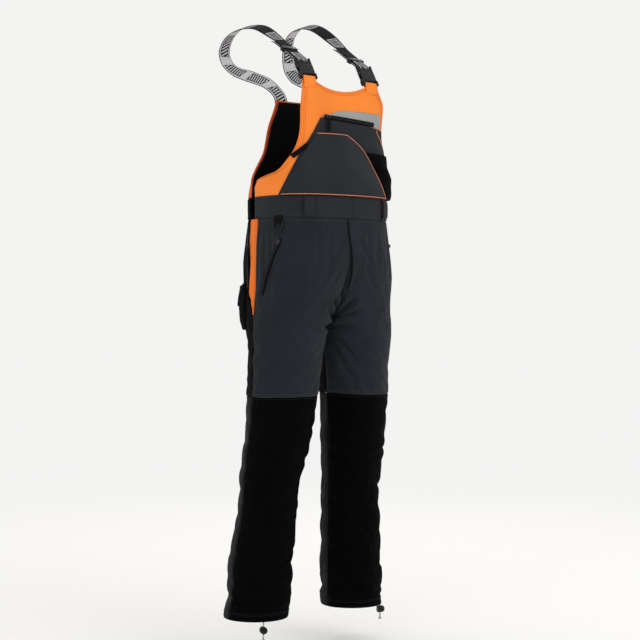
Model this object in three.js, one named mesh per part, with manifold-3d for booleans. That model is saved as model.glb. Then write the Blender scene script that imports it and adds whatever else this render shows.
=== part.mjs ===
// Bib-and-brace forestry trousers with cut protection, worn upright.
// Millimetres, +Z up, the wearer faces -Y, so the wearer's right is -X.
// The origin is the centre of the waist, level with the top of the waistband.
import * as THREE from 'three';
import { mergeVertices } from 'three/addons/utils/BufferGeometryUtils.js';
import Module from 'manifold-3d';

const wasm = await Module();
wasm.setup();

// Overall sizes of a men's L garment.
const WAIST_HALF = 180;
const WAIST_DEPTH = 135;
const WAISTBAND = 54;
const CROTCH = -300;
const KNEE_SEAM = -492;
const HEM = -1052;
const BIB_TOP = 284;
const BIB_CENTRE = 266;
const BACK_TOP = 252;
const STRAP_APEX = 454;
// Cloth, seams and webbing.
const CLOTH = 2.5;
const SEAM = 0.5;
const WEB = 38;
const WEB_THICK = 2;
const WEB_GAP = 3.6;
// Hardware.
const BUCKLE_LEAN = 30;
const CORD = 3.6;
const TAPE = 12;

const ORANGE = 0xf08c3e;
const CHARCOAL = 0x2c3036;
const BLACK = 0x151517;
const REFLECTIVE = 0x95928c;

const group = new THREE.Group();
const vec = (x, y, z) => new THREE.Vector3(x, y, z);
const rad = THREE.MathUtils.degToRad;
const lerp = THREE.MathUtils.lerp;
const smooth = (x) => THREE.MathUtils.smoothstep(x, 0, 1);

function add(name, geometry, color, roughness, metalness = 0) {
  const material = new THREE.MeshStandardMaterial({ color, roughness, metalness });
  const mesh = new THREE.Mesh(geometry, material);
  mesh.name = name;
  group.add(mesh);
  return mesh;
}

// ---- solids -------------------------------------------------------------

// Merges shared vertices and turns the faces outwards.
function closed(geometry) {
  const bare = new THREE.BufferGeometry();
  bare.setAttribute('position', geometry.attributes.position);
  bare.setIndex(geometry.index);
  const merged = mergeVertices(bare, 1e-3);
  const p = merged.attributes.position;
  const index = merged.index.array;
  let volume = 0;
  for (let i = 0; i < index.length; i += 3) {
    const a = new THREE.Vector3().fromBufferAttribute(p, index[i]);
    const b = new THREE.Vector3().fromBufferAttribute(p, index[i + 1]);
    const c = new THREE.Vector3().fromBufferAttribute(p, index[i + 2]);
    volume += a.dot(b.cross(c));
  }
  if (volume < 0) {
    for (let i = 0; i < index.length; i += 3) {
      [index[i + 1], index[i + 2]] = [index[i + 2], index[i + 1]];
    }
  }
  merged.computeVertexNormals();
  return merged;
}

function solid(geometry) {
  const g = closed(geometry);
  return new wasm.Manifold(new wasm.Mesh({
    numProp: 3,
    vertProperties: g.attributes.position.array,
    triVerts: new Uint32Array(g.index.array),
  }));
}

function drawn(manifold) {
  const mesh = manifold.getMesh();
  const g = new THREE.BufferGeometry();
  g.setAttribute('position', new THREE.BufferAttribute(mesh.vertProperties, 3));
  g.setIndex(new THREE.BufferAttribute(mesh.triVerts, 1));
  g.computeVertexNormals();
  return g;
}

const box = (w, d, h, x, y, z) => solid(new THREE.BoxGeometry(w, d, h).translate(x, y, z));

// A cloth panel: a box whose u, v and w (each 0 to 1) are placed by a function.
function panel(cols, rows, place) {
  const g = new THREE.BoxGeometry(1, 1, 1, cols, rows, 1);
  const p = g.attributes.position;
  for (let i = 0; i < p.count; i += 1) {
    const q = place(p.getX(i) + 0.5, p.getY(i) + 0.5, p.getZ(i) + 0.5);
    p.setXYZ(i, q.x, q.y, q.z);
  }
  return closed(g);
}

// A profile drawn along a run of frames.
function sweep(shape, steps, place) {
  const g = new THREE.ExtrudeGeometry(shape, { depth: 1, steps, bevelEnabled: false, curveSegments: 4 });
  const p = g.attributes.position;
  for (let i = 0; i < p.count; i += 1) {
    const q = place(p.getX(i), p.getY(i), p.getZ(i));
    p.setXYZ(i, q.x, q.y, q.z);
  }
  return closed(g);
}

function outline(points) {
  return new THREE.Shape(points.map(([x, y]) => new THREE.Vector2(x, y)));
}

// Webbing along a run of points; width runs along side, thickness across it.
function webbing(points, side, width, thickness) {
  const last = points.length - 1;
  return panel(1, last, (u, v, w) => {
    const i = Math.round(v * last);
    const along = points[Math.min(i + 1, last)].clone().sub(points[Math.max(i - 1, 0)]);
    const across = new THREE.Vector3().crossVectors(side, along).normalize();
    return points[i].clone()
      .addScaledVector(side, (u - 0.5) * width)
      .addScaledVector(across, (w - 0.5) * thickness);
  });
}

// Axes of a placed part: width, height and outward direction as one matrix.
function frame(origin, width, up, out) {
  return new THREE.Matrix4().makeBasis(width, up, out).setPosition(origin);
}

// ---- the wearer's shape ---------------------------------------------------

// Rows of numbers over height, joined by a smooth curve.
function station(table, z) {
  const last = table.length - 1;
  let i = 0;
  while (i < last - 1 && z > table[i + 1][0]) i += 1;
  const [a, b] = [table[i], table[i + 1]];
  const before = table[Math.max(i - 1, 0)];
  const after = table[Math.min(i + 2, last)];
  const span = b[0] - a[0];
  const t = THREE.MathUtils.clamp((z - a[0]) / span, 0, 1);
  return a.slice(1).map((value, k) => {
    const m0 = ((b[k + 1] - before[k + 1]) / (b[0] - before[0])) * span;
    const m1 = ((after[k + 1] - value) / (after[0] - a[0])) * span;
    const t2 = t * t;
    const t3 = t2 * t;
    return value * (2 * t3 - 3 * t2 + 1) + m0 * (t3 - 2 * t2 + t)
      + b[k + 1] * (3 * t2 - 2 * t3) + m1 * (t3 - t2);
  });
}

// Height, half width, front depth, back depth, squareness.
const TORSO = [
  [-54, WAIST_HALF, WAIST_DEPTH, WAIST_DEPTH, 2.6],
  [0, WAIST_HALF, WAIST_DEPTH, WAIST_DEPTH, 2.6],
  [54, 178, 122, 116, 2.6],
  [110, 178, 107, 92, 2.8],
  [180, 178, 102, 70, 3.3],
  [252, 178, 97, 52, 4.6],
  [310, 178, 95, 46, 6],
];
// Height, centre out from the middle, half width, centre back, half depth, squareness.
const LEG = [
  [HEM, 155, 81, 55, 82, 2],
  [-765, 134, 74, 35, 76, 2],
  [-637, 126, 81, 15, 82, 2],
  [-510, 116, 88, -2, 89, 2],
  [-382, 108, 94, -8, 96, 2],
  [CROTCH, 100, 101, -5, 104, 2.2],
  [-230, 75, 117, 0, 120, 2.5],
  [-153, 45, 142, 0, 138, 2.6],
  [-WAISTBAND, 0, WAIST_HALF, 0, WAIST_DEPTH, 2.6],
  [0, 0, WAIST_HALF, 0, WAIST_DEPTH, 2.6],
];

const reach = (c, s, a, b, n) => 1 / (Math.abs(c / a) ** n + Math.abs(s / b) ** n) ** (1 / n);

// angle is 0 at the front, 90 at the wearer's left side and 180 at the back.
function torsoAt(angle, z) {
  const [half, front, back, n] = station(TORSO, z);
  const s = Math.sin(rad(angle));
  const c = Math.cos(rad(angle));
  const r = reach(s, c, half, c > 0 ? front : back, n);
  return vec(r * s, -r * c, z);
}

// angle is -90 at the front, 0 outwards and 90 at the back; side is -1 right, 1 left.
function legAt(side, angle, z) {
  const [cx, a, cy, b, n] = station(LEG, z);
  const c = Math.cos(rad(angle));
  const s = Math.sin(rad(angle));
  const r = reach(c, s, a, b, n);
  return vec(side * (cx + r * c), cy + r * s, z);
}

function normalOf(at, angle, z) {
  const du = at(angle + 0.4, z).sub(at(angle - 0.4, z));
  const dz = at(angle, z + 1).sub(at(angle, z - 1));
  const out = du.cross(dz).normalize();
  return out.x * at(angle, z).x + out.y * at(angle, z).y < 0 ? out.negate() : out;
}

function torso(angle, z, off = 0) {
  return torsoAt(angle, z).addScaledVector(normalOf(torsoAt, angle, z), off);
}

function legNormal(side, angle, z) {
  const at = (t, h) => legAt(1, t, h);
  const du = at(angle + 0.4, z).sub(at(angle - 0.4, z));
  const dz = at(angle, z + 1).sub(at(angle, z - 1));
  const out = du.cross(dz).normalize();
  return vec(side * out.x, out.y, out.z);
}

function leg(side, angle, z, off = 0) {
  return legAt(side, angle, z).addScaledVector(legNormal(side, angle, z), off);
}

// The angle at which a leg meets the middle plane, or 180 below the crotch.
function inner(z) {
  const [cx, a, cy, b, n] = station(LEG, z);
  const gap = SEAM / 2;
  const most = 180 - THREE.MathUtils.radToDeg(gap / b);
  if (cx - gap >= a) return most;
  const y = b * (1 - (Math.abs(cx - gap) / a) ** n) ** (1 / n);
  return Math.min(most, THREE.MathUtils.radToDeg(Math.atan2(y, gap - cx)));
}

// The angle on the torso at a given X.
function angleAt(x, z) {
  const [half, front, , n] = station(TORSO, z);
  const y = front * (1 - Math.min(Math.abs(x) / half, 0.999) ** n) ** (1 / n);
  return THREE.MathUtils.radToDeg(Math.atan2(x, y));
}

// ---- legs and seat ----------------------------------------------------------

const SIDE_SEAM = 4;
const STRIPE_REAR = 16;
const ZIP_REAR = 21;
const STRIPE_END = -290;
const arcGap = 0.2;

// How far round the orange side stripe and the side zip reach at a height.
const stripeRear = (z) => lerp(SIDE_SEAM + 2, STRIPE_REAR, smooth((z - STRIPE_END) / 60));
const backFront = (z) => {
  if (z < STRIPE_END) return SIDE_SEAM + arcGap;
  return lerp(SIDE_SEAM + 2.6, ZIP_REAR, smooth((z - STRIPE_END) / 60));
};

// Heights crowd round the crotch, where the edge of the panel turns fast.
function thighHeight(v) {
  const s = v * 2 - 1;
  const top = -WAISTBAND - SEAM;
  return s < 0
    ? CROTCH - (CROTCH - KNEE_SEAM - SEAM) * Math.abs(s) ** 1.7
    : CROTCH + (top - CROTCH) * s ** 1.7;
}
const shinHeight = (v) => lerp(HEM, KNEE_SEAM - SEAM / 2, v);

for (const side of [-1, 1]) {
  const name = side < 0 ? 'right' : 'left';
  add(`front_thigh_${name}`, panel(9, 17, (u, v, w) => {
    const z = thighHeight(v);
    return leg(side, lerp(-inner(z), SIDE_SEAM - arcGap, u), z, (w - 1) * CLOTH);
  }), CHARCOAL, 0.85);
  add(`back_thigh_${name}`, panel(9, 17, (u, v, w) => {
    const z = thighHeight(v);
    return leg(side, lerp(backFront(z), inner(z), u), z, (w - 1) * CLOTH);
  }), BLACK, 0.9);
  add(`shin_${name}`, panel(9, 10, (u, v, w) => {
    const z = shinHeight(v);
    return leg(side, lerp(-inner(z), SIDE_SEAM - arcGap, u), z, (w - 1) * CLOTH);
  }), BLACK, 0.9);
  add(`calf_${name}`, panel(9, 10, (u, v, w) => {
    const z = shinHeight(v);
    return leg(side, lerp(SIDE_SEAM + arcGap, inner(z), u), z, (w - 1) * CLOTH);
  }), BLACK, 0.9);
  add(`side_stripe_${name}`, panel(1, 10, (u, v, w) => {
    const z = lerp(STRIPE_END + 1, -WAISTBAND - SEAM, v);
    return leg(side, lerp(SIDE_SEAM + arcGap, stripeRear(z), u), z, (w - 1) * CLOTH);
  }), ORANGE, 0.8);
  // Layers of cut-stopping fibre that hang inside the front of the leg.
  add(`cut_protection_pad_${name}`, panel(7, 13, (u, v, w) => {
    const z = lerp(HEM + 60, -120, v);
    const from = -Math.min(inner(z) - 30, 120);
    return leg(side, lerp(from, 0, u), z, lerp(-9, -CLOTH - 2.6, w));
  }), 0xd8d4c4, 0.9);
}

// ---- waistband ----------------------------------------------------------------

const SIDE_GAP = 98;
const BACK_GAP = 105;
for (const side of [-1, 1]) {
  const name = side < 0 ? 'right' : 'left';
  add(`waistband_${name}`, panel(9, 2, (u, v, w) => {
    const angle = side * lerp(0.15, SIDE_GAP, u);
    return torso(angle, lerp(-WAISTBAND, -SEAM, v), lerp(-3, 0.5, w));
  }), CHARCOAL, 0.85);
}
add('waistband_back', panel(12, 2, (u, v, w) => {
  const angle = lerp(BACK_GAP, 360 - BACK_GAP, u);
  return torso(angle, lerp(-WAISTBAND, -SEAM, v), lerp(-3, 0.5, w));
}), BLACK, 0.9);

// ---- bib ------------------------------------------------------------------------

// Height and the angle of the armhole edge on the front and on the back.
const ARMHOLE = [
  [0, 98.5], [30, 98.2], [42, 95], [50, 84], [58, 73], [84, 64.5], [112, 58.5], [145, 54.8],
  [180, 53.2], [217, 53], [277, 52], [310, 52],
];
const BACK_EDGE = [
  [0, 105], [34, 105], [50, 110], [70, 118], [110, 124], [150, 123.5], [190, 121.5], [252, 118.4],
];
const armhole = (z) => station(ARMHOLE, z)[0];
const backEdge = (z) => station(BACK_EDGE, z)[0];

// The top edge dips between the two strap tabs.
function bibHeight(x, z) {
  const dip = Math.min(Math.abs(x) / 78, 1) ** 2.2;
  const top = lerp(BIB_CENTRE, BIB_TOP, dip);
  return z * (top / BIB_TOP);
}

add('bib_front', panel(20, 16, (u, v, w) => {
  const flat = lerp(SEAM, BIB_TOP, v);
  const angle = lerp(-armhole(flat), armhole(flat), u);
  const z = Math.max(SEAM, bibHeight(torsoAt(angle, flat).x, flat));
  return torso(angle, z, (w - 1) * CLOTH);
}), ORANGE, 0.75);

add('bib_back', panel(14, 16, (u, v, w) => {
  const z = lerp(SEAM, BACK_TOP, v);
  return torso(lerp(backEdge(z), 360 - backEdge(z), u), z, (w - 1) * CLOTH);
}), ORANGE, 0.75);

add('bib_back_lining', panel(14, 16, (u, v, w) => {
  const z = lerp(SEAM, BACK_TOP - 2, v);
  const edge = backEdge(z);
  return torso(lerp(edge, 360 - edge, lerp(0.02, 0.98, u)), z, lerp(-8.4, -CLOTH - 3.8, w));
}), BLACK, 0.9);

// The chest zip runs on a circle through three points of the bib.
const ZIP_LEFT = [-60, 197];
const ZIP_RIGHT = [100, 188.5];
const zipHeight = (x) => lerp(ZIP_LEFT[1], ZIP_RIGHT[1], (x - ZIP_LEFT[0]) / (ZIP_RIGHT[0] - ZIP_LEFT[0]));
const FAR_EDGE = 127;

add('reflective_band', panel(10, 1, (u, v, w) => {
  const x = lerp(-62, FAR_EDGE - 4, u);
  const low = zipHeight(x) + 2 - 9 * smooth((x - 60) / 60);
  const high = zipHeight(-62) + 5 + 16 * smooth((x + 62) / 72) + 10 * smooth((x - 30) / 95);
  const z = lerp(low, high, v);
  return torso(angleAt(x, z), z, lerp(0.9, 1.8, w));
}), REFLECTIVE, 0.45, 0.2);

// Where the charcoal chest panel and its pouch begin and end across the bib.
const CHEST_LEFT = [[0, -170], [6, -169], [48, -154], [105, -126], [155, -94], [200, -66]];
const POUCH_RIGHT = [[0, 121], [8, 119], [63, 92], [110, 64], [135, 40], [155, 8]];
const chestLeft = (z) => station(CHEST_LEFT, z)[0];
const chestRight = (z) => Math.min(armhole(z) - 4.5, 78);
const pouchRight = (z) => station(POUCH_RIGHT, z)[0];

add('chest_panel', panel(18, 7, (u, v, w) => {
  const x = lerp(ZIP_LEFT[0], FAR_EDGE - 6, u);
  const top = zipHeight(x) - 1.5 - 9 * smooth((x - 60) / 60);
  const z = lerp(3, top, v);
  const angle = lerp(angleAt(chestLeft(z), z), chestRight(z), u);
  return torso(angle, z, lerp(2.4, 3.4, w) + 3.8 * smooth((u - 0.8) / 0.12) * (1 - smooth((z - 115) / 35)));
}), CHARCOAL, 0.85);

// A bellows pouch, open at the top, that swells away from the chest panel.
const POUCH_TOP = 155;
const POUCH_LOW = 6;
function pouchOff(u, v) {
  const across = Math.sin(Math.PI * u) ** 0.7;
  const rise = smooth(v / 0.22) * lerp(1, 0.4, smooth((v - 0.35) / 0.65));
  return 6 + 16 * across * rise;
}
add('pouch', panel(14, 10, (u, v, w) => {
  const z = lerp(POUCH_LOW, POUCH_TOP, v);
  const from = angleAt(chestLeft(z), z) + 3;
  const to = angleAt(pouchRight(z), z);
  return torso(lerp(from, to, u), z, pouchOff(u, v) + w * CLOTH);
}), CHARCOAL, 0.85);

add('pouch_gusset', panel(4, 8, (u, v, w) => {
  const z = lerp(POUCH_LOW, 114, v);
  const from = angleAt(pouchRight(z), z) + 0.8;
  const to = chestRight(z) + 0.5;
  return torso(lerp(from, to, u), z, 9.4 + 8 * Math.sin(Math.PI * u) * Math.sin(Math.PI * v) + w * CLOTH);
}), BLACK, 0.9);

add('diagonal_tape', panel(1, 8, (u, v, w) => {
  const z = lerp(95, 126, v) + lerp(-4.5, 4.5, u);
  const x = lerp(-144, -107, v) + lerp(3.5, -3.5, u);
  return torso(angleAt(x, z), z, lerp(0.8, 4.1, smooth((v - 0.02) / 0.25)) + w);
}), BLACK, 0.9);

// ---- zips ------------------------------------------------------------------------

// A circle through three points carries the tape; the slider turns about its centre.
function track(a, b, c, normal) {
  const ab = b.clone().sub(a);
  const ac = c.clone().sub(a);
  const axis = new THREE.Vector3().crossVectors(ab, ac);
  const d = 2 * axis.lengthSq();
  const centre = a.clone()
    .addScaledVector(new THREE.Vector3().crossVectors(axis, ab), ac.lengthSq() / d)
    .addScaledVector(new THREE.Vector3().crossVectors(ac, axis), ab.lengthSq() / d);
  axis.normalize();
  const start = a.clone().sub(centre);
  const radius = start.length();
  const other = new THREE.Vector3().crossVectors(axis, start).normalize();
  const end = c.clone().sub(centre);
  const turn = Math.atan2(end.dot(other), end.dot(start) / radius);
  const at = (s) => {
    const spin = (s / radius) * Math.sign(turn);
    const radial = start.clone().applyAxisAngle(axis, spin).normalize();
    const along = new THREE.Vector3().crossVectors(axis, radial).multiplyScalar(Math.sign(turn));
    const lean = middle === null ? 0 : middle;
    const out = radial.clone().multiplyScalar(Math.cos(lean)).addScaledVector(axis, Math.sin(lean));
    const width = new THREE.Vector3().crossVectors(along, out).normalize();
    return { p: centre.clone().addScaledVector(radial, radius), along, out, width };
  };
  let middle = null;
  const length = Math.abs(turn) * radius;
  const half = at(length / 2);
  const flat = half.out.clone();
  middle = Math.atan2(normal.dot(axis), normal.dot(flat));
  return { at, centre, axis, radius, length, sign: Math.sign(turn) };
}

const tapeShape = () => outline([
  [-TAPE / 2, 0], [TAPE / 2, 0], [TAPE / 2, 1.1], [2, 1.1], [2, 2], [-2, 2], [-2, 1.1], [-TAPE / 2, 1.1],
]);

function zipTape(name, path, steps) {
  add(name, sweep(tapeShape(), steps, (x, y, z) => {
    const f = path.at(z * path.length);
    return f.p.clone().addScaledVector(f.width, x).addScaledVector(f.out, y);
  }), BLACK, 0.7);
}

const PULL_HEIGHT = 5.6;

// A pull: a frame whose cross bar lies in the slider's arch, then a tongue along local Y.
function pullBody(width, length, thick) {
  const eye = box(8.2, 9.6, 1.3, 0, 3.6, 0).subtract(box(4.6, 5.6, 2, 0, 4, 0));
  return eye.add(box(width, length - 8, thick, 0, 8 + (length - 8) / 2, 0));
}

// Slider: a channel over the teeth with an arch on top; local Y is where the pull hangs.
function zipSlider(name, path, s, across, pullName, pull) {
  const f = path.at(s);
  const hang = across ? f.width.clone() : f.along.clone();
  if (hang.z > 0) hang.negate();
  const side = new THREE.Vector3().crossVectors(hang, f.out);
  const turned = across ? new THREE.Matrix4().makeRotationZ(Math.PI / 2) : new THREE.Matrix4();
  const arch = box(2.2, 8, 4.2, 0, 0, 6.2).subtract(box(3, 4.6, 2.8, 0, 0, 5.6));
  const channel = solid(drawn(box(9, 11, 1.8, 0, 0, 3.3)
    .add(box(1.8, 11, 1.2, -3.6, 0, 2.1))
    .add(box(1.8, 11, 1.2, 3.6, 0, 2.1))).applyMatrix4(turned));
  const place = frame(f.p, side, hang, f.out);
  add(name, drawn(channel.add(arch)).applyMatrix4(place), 0x8a8d90, 0.35, 0.8);
  const pivot = f.p.clone().addScaledVector(f.out, PULL_HEIGHT);
  if (pullName) {
    const seat = frame(pivot, side, hang, f.out);
    add(pullName, drawn(pullBody(pull[0], pull[1], pull[2])).applyMatrix4(seat), BLACK, 0.7);
  }
  return {
    centre: path.centre.toArray(), axis: path.axis.clone().multiplyScalar(path.sign).toArray(),
    radius: path.radius, length: path.length, s, pivot: pivot.toArray(), side: side.toArray(),
    at: f.p.toArray(),
  };
}

const tracks = {};
const chestOff = 5;
const onBib = (x) => torso(angleAt(x, zipHeight(x)), zipHeight(x), chestOff);
const bibNormal = (x) => normalOf(torsoAt, angleAt(x, zipHeight(x)), zipHeight(x));
const chestZip = track(onBib(ZIP_LEFT[0]), onBib(20), onBib(ZIP_RIGHT[0]), bibNormal(20));
zipTape('chest_zip_tape', chestZip, 10);
tracks.chest = zipSlider('chest_zip_slider', chestZip, 10, true, 'chest_zip_pull', [9, 36, 1.5]);

for (const side of [-1, 1]) {
  const name = side < 0 ? 'right' : 'left';
  // The hip pocket zip slants down and back across the thigh.
  const hip = (f, off) => leg(side, lerp(-26, -12, f), lerp(-108, -245, f), off);
  const hipZip = track(hip(0, 1.5), hip(0.5, 1.5), hip(1, 1.5), legNormal(side, -19, -176));
  zipTape(`hip_zip_tape_${name}`, hipZip, 6);
  tracks[`hip_${name}`] = zipSlider(`hip_zip_slider_${name}`, hipZip, 9, false, null, null);
  // The side zip opens the trousers from the bib down over the hip.
  const vent = (z, off) => leg(side, (STRIPE_REAR + ZIP_REAR) / 2, z, off);
  const ventZip = track(vent(-64, 0.5), vent(-140, 0.5), vent(-226, 0.5), legNormal(side, 18.5, -140));
  zipTape(`side_zip_tape_${name}`, ventZip, 8);
  tracks[`side_${name}`] = zipSlider(`side_zip_slider_${name}`, ventZip, 58, false,
    `side_zip_pull_${name}`, [9, 54, 1.5]);
}

// ---- fly, belt loops and D-ring -----------------------------------------------------

// The placket crosses the middle line, so it bridges the two front panels.
add('fly_flap', panel(4, 8, (u, v, w) => {
  const z = lerp(-232, -62, v);
  const reachOut = lerp(14, 24, smooth(v * 2));
  const x = lerp(-5, reachOut, u);
  const middle = (t) => {
    const [cx, a, cy, b, n] = station(LEG, z);
    const dx = Math.abs(Math.abs(t) - cx) / a;
    return cy - b * (1 - dx ** n) ** (1 / n);
  };
  return vec(x, Math.min(middle(x), middle(cx0(z))) - 0.8 - w * CLOTH, z);
}), CHARCOAL, 0.85);

function cx0(z) {
  return Math.min(24, station(LEG, z)[0]);
}

const loopPath = [[-1.5, 1.3], [-5, 4], [-9, 7.6], [-20, 8.6], [-36, 8.6], [-46, 7.6], [-50, 4], [-53.5, 1.3]];
for (const side of [-1, 1]) {
  const name = side < 0 ? 'right' : 'left';
  const angle = side * 45.5;
  const out = normalOf(torsoAt, angle, -27);
  const points = loopPath.map(([z, off]) => torsoAt(angle, -27).setZ(z).addScaledVector(out, off));
  const width = new THREE.Vector3().crossVectors(vec(0, 0, 1), out).normalize();
  add(`belt_loop_${name}`, webbing(points, width, 20, 1.5), CHARCOAL, 0.85);
}

// A D-ring hangs from a short tab below the waistband on the wearer's right.
const ringOut = legNormal(-1, -21, -66);
const ringSide = new THREE.Vector3().crossVectors(vec(0, 0, 1), ringOut).normalize();
const ringDown = new THREE.Vector3().crossVectors(ringOut, ringSide).normalize();
if (ringDown.z > 0) ringDown.negate();
const ringBar = leg(-1, -21, -66, 4.3);
const tabPoints = [];
const around = (angle, r) => ringBar.clone()
  .addScaledVector(ringOut, -Math.cos(rad(angle)) * r)
  .addScaledVector(ringDown, Math.sin(rad(angle)) * r);
tabPoints.push(around(0, 3.2).addScaledVector(ringDown, -9.5), around(0, 3.2).addScaledVector(ringDown, -4));
for (let a = 0; a <= 180; a += 30) tabPoints.push(around(a, 3.2));
tabPoints.push(around(180, 3.2).addScaledVector(ringDown, -8));
tabPoints.push(around(180, 0.2).addScaledVector(ringDown, -18));
tabPoints.push(around(0, 1.0).addScaledVector(ringDown, -26));
add('d_ring_tab', webbing(tabPoints, ringSide, 20, 1.2), BLACK, 0.9);

const ringShape = new THREE.Shape();
ringShape.moveTo(-15, -1.5).lineTo(15, -1.5).lineTo(15, 10);
ringShape.absarc(0, 10, 15, 0, Math.PI, false);
const ringHole = new THREE.Path();
ringHole.moveTo(-11.6, 1.5).lineTo(-11.6, 10);
ringHole.absarc(0, 10, 11.6, Math.PI, 0, true);
ringHole.lineTo(11.6, 1.5);
ringShape.holes.push(ringHole);
const ringGeometry = new THREE.ExtrudeGeometry(ringShape, { depth: 3, bevelEnabled: false, curveSegments: 9 });
ringGeometry.translate(0, 0, -1.5).applyMatrix4(frame(ringBar, ringSide, ringDown, ringOut));
add('d_ring', closed(ringGeometry), 0x202124, 0.4, 0.6);

// ---- cargo pocket --------------------------------------------------------------------

const CARGO = { from: 26, to: 62, low: -326, top: -222, bulge: 12 };
const cargoOff = (u, v) => 0.6 + CARGO.bulge * Math.sin(Math.PI * u) ** 0.6 * Math.sin(Math.PI * (0.12 + v * 0.8)) ** 0.7;
add('cargo_pocket', panel(8, 7, (u, v, w) => {
  const z = lerp(CARGO.low, CARGO.top, v);
  return leg(-1, lerp(CARGO.from, CARGO.to, u), z, cargoOff(u, v) + w * 2);
}), BLACK, 0.9);
const FLAP_DROP = 56;
add('cargo_flap', panel(8, 5, (u, v, w) => {
  const z = lerp(CARGO.top + 12 - FLAP_DROP, CARGO.top + 12, v);
  const base = Math.max(0, cargoOff(u, Math.min(1, (z - CARGO.low) / (CARGO.top - CARGO.low))));
  const lift = v > 0.93 ? 1.2 : base + 3.1;
  return leg(-1, lerp(CARGO.from - 1, CARGO.to + 1, u), z, lift + w * 2);
}), BLACK, 0.9);

// ---- braces ----------------------------------------------------------------------------

const lean = rad(BUCKLE_LEAN);
const buckleUp = vec(0, Math.sin(lean), Math.cos(lean));
const buckleOut = vec(0, -Math.cos(lean), Math.sin(lean));
const TAB_CENTRE = 99;
const BAR_AT = 56;
const STRAP_RUN = vec(0, 0.841, 0.541);
const STRAP_OUT = vec(0, -0.541, 0.841);
const layer = (WEB_THICK + WEB_GAP) / 2;
const ADJUSTER = { right: 64, left: 40 };

for (const side of [-1, 1]) {
  const name = side < 0 ? 'right' : 'left';
  const x = side * TAB_CENTRE;
  const width = vec(1, 0, 0);
  const foot = vec(x, -92, BIB_TOP + 5);
  const bar = foot.clone().addScaledVector(buckleUp, BAR_AT);
  // The orange tab straddles the bib's top edge and loops round the socket's bar.
  const socketBar = foot.clone().addScaledVector(buckleUp, 4.5);
  const inFront = torsoAt(angleAt(x, BIB_TOP - 14), BIB_TOP - 14).y;
  const tab = [vec(x, inFront - 2.6, BIB_TOP - 24), vec(x, inFront - 2.7, BIB_TOP - 4)];
  for (let a = 0; a <= 180; a += 30) {
    tab.push(socketBar.clone().addScaledVector(buckleOut, Math.cos(rad(a)) * 3.9)
      .addScaledVector(buckleUp, Math.sin(rad(a)) * 3.9));
  }
  tab.push(vec(x, inFront + 5.8, BIB_TOP - 3), vec(x, inFront + 5.8, BIB_TOP - 24));
  add(`strap_tab_${name}`, webbing(tab, width, WEB, 1.5), ORANGE, 0.75);

  const socketPlace = frame(foot, width, buckleUp, buckleOut);
  const socket = box(WEB + 6, 30, 12, 0, 27.5, 0)
    .add(box(WEB + 12, 14, 12, 0, 8, 0))
    .subtract(box(WEB + 1.6, 17, 14, 0, 4.1, 0))
    .add(box(WEB + 4, 3.8, 3.8, 0, 4.5, 0))
    .subtract(box(WEB - 2, 28, 7, 0, 30, 0))
    .subtract(box(WEB + 22, 14, 5.6, 0, 27, 0));
  add(`buckle_socket_${name}`, drawn(socket).applyMatrix4(socketPlace), 0x1a1a1c, 0.5);
  const cheek = WEB / 2 + 1.5;
  const prong = WEB / 2 - 5;
  const plug = box(WEB + 6, 12, 11, 0, 49.5, 0)
    .add(box(3, 12, 11, -cheek, 56, 0)).add(box(3, 12, 11, cheek, 56, 0))
    .add(box(WEB + 5, 2, 2, 0, BAR_AT, 0))
    .add(box(5.4, 28, 5.6, -prong, 31, 0)).add(box(5.4, 28, 5.6, prong, 31, 0))
    .add(box(4.6, 26, 5.6, 0, 32, 0))
    .subtract(box(WEB + 0.6, 9, 12, 0, 55.9, 0).subtract(box(WEB + 22, 2, 2, 0, BAR_AT, 0)));
  add(`buckle_plug_${name}`, drawn(plug).applyMatrix4(socketPlace), 0x1a1a1c, 0.5);

  // One length of webbing: free tail, round the plug's bar, over the shoulder to the back.
  const straight = (s, off) => bar.clone().addScaledVector(STRAP_RUN, s).addScaledVector(STRAP_OUT, off);
  const strap = [straight(120, -layer - 3), straight(106, -layer), straight(60, -layer), straight(14, -layer)];
  for (let a = 0; a <= 180; a += 30) {
    strap.push(bar.clone().addScaledVector(STRAP_OUT, -Math.cos(rad(a)) * layer)
      .addScaledVector(STRAP_RUN, -Math.sin(rad(a)) * layer));
  }
  strap.push(straight(14, layer), straight(60, layer), straight(106, layer));
  const rest = new THREE.CatmullRomCurve3([
    straight(106, layer), vec(x * 0.99, 101, STRAP_APEX - 14), vec(x * 0.97, 161, STRAP_APEX),
    vec(x * 0.95, 221, STRAP_APEX), vec(x * 0.92, 269, 436), vec(x * 0.9, 290, 405), vec(x * 0.87, 276, 372),
    vec(x * 0.84, 239, 349), vec(x * 0.81, 191, 332), vec(x * 0.77, 120, 306), vec(x * 0.74, 79, 279),
    vec(x * 0.73, 61, 258), vec(x * 0.73, 57.6, 236),
  ]);
  rest.getSpacedPoints(26).slice(1).forEach((p) => strap.push(p));
  add(`strap_${name}`, webbing(strap, width, WEB, WEB_THICK), 0x1c1c1e, 0.85);

  const at = ADJUSTER[name];
  const slide = frame(straight(at, 0), width, STRAP_RUN, STRAP_OUT);
  const thick = 2 * (layer + WEB_THICK / 2);
  const adjuster = box(WEB + 7, 13, thick + 4.4, 0, 0, 0)
    .subtract(box(WEB + 1.2, 20, thick + 1, 0, 0, 0))
    .add(box(WEB + 4, 4, 1.4, 0, 0, 0));
  add(`strap_adjuster_${name}`, drawn(adjuster).applyMatrix4(slide), 0x1a1a1c, 0.5);
  tracks[`brace_${name}`] = { axis: buckleUp.toArray(), at: foot.toArray() };
  tracks[`adjuster_${name}`] = { axis: STRAP_RUN.toArray(), at: straight(at, 0).toArray() };
}

// ---- hem cords and toggles ---------------------------------------------------------------

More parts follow.
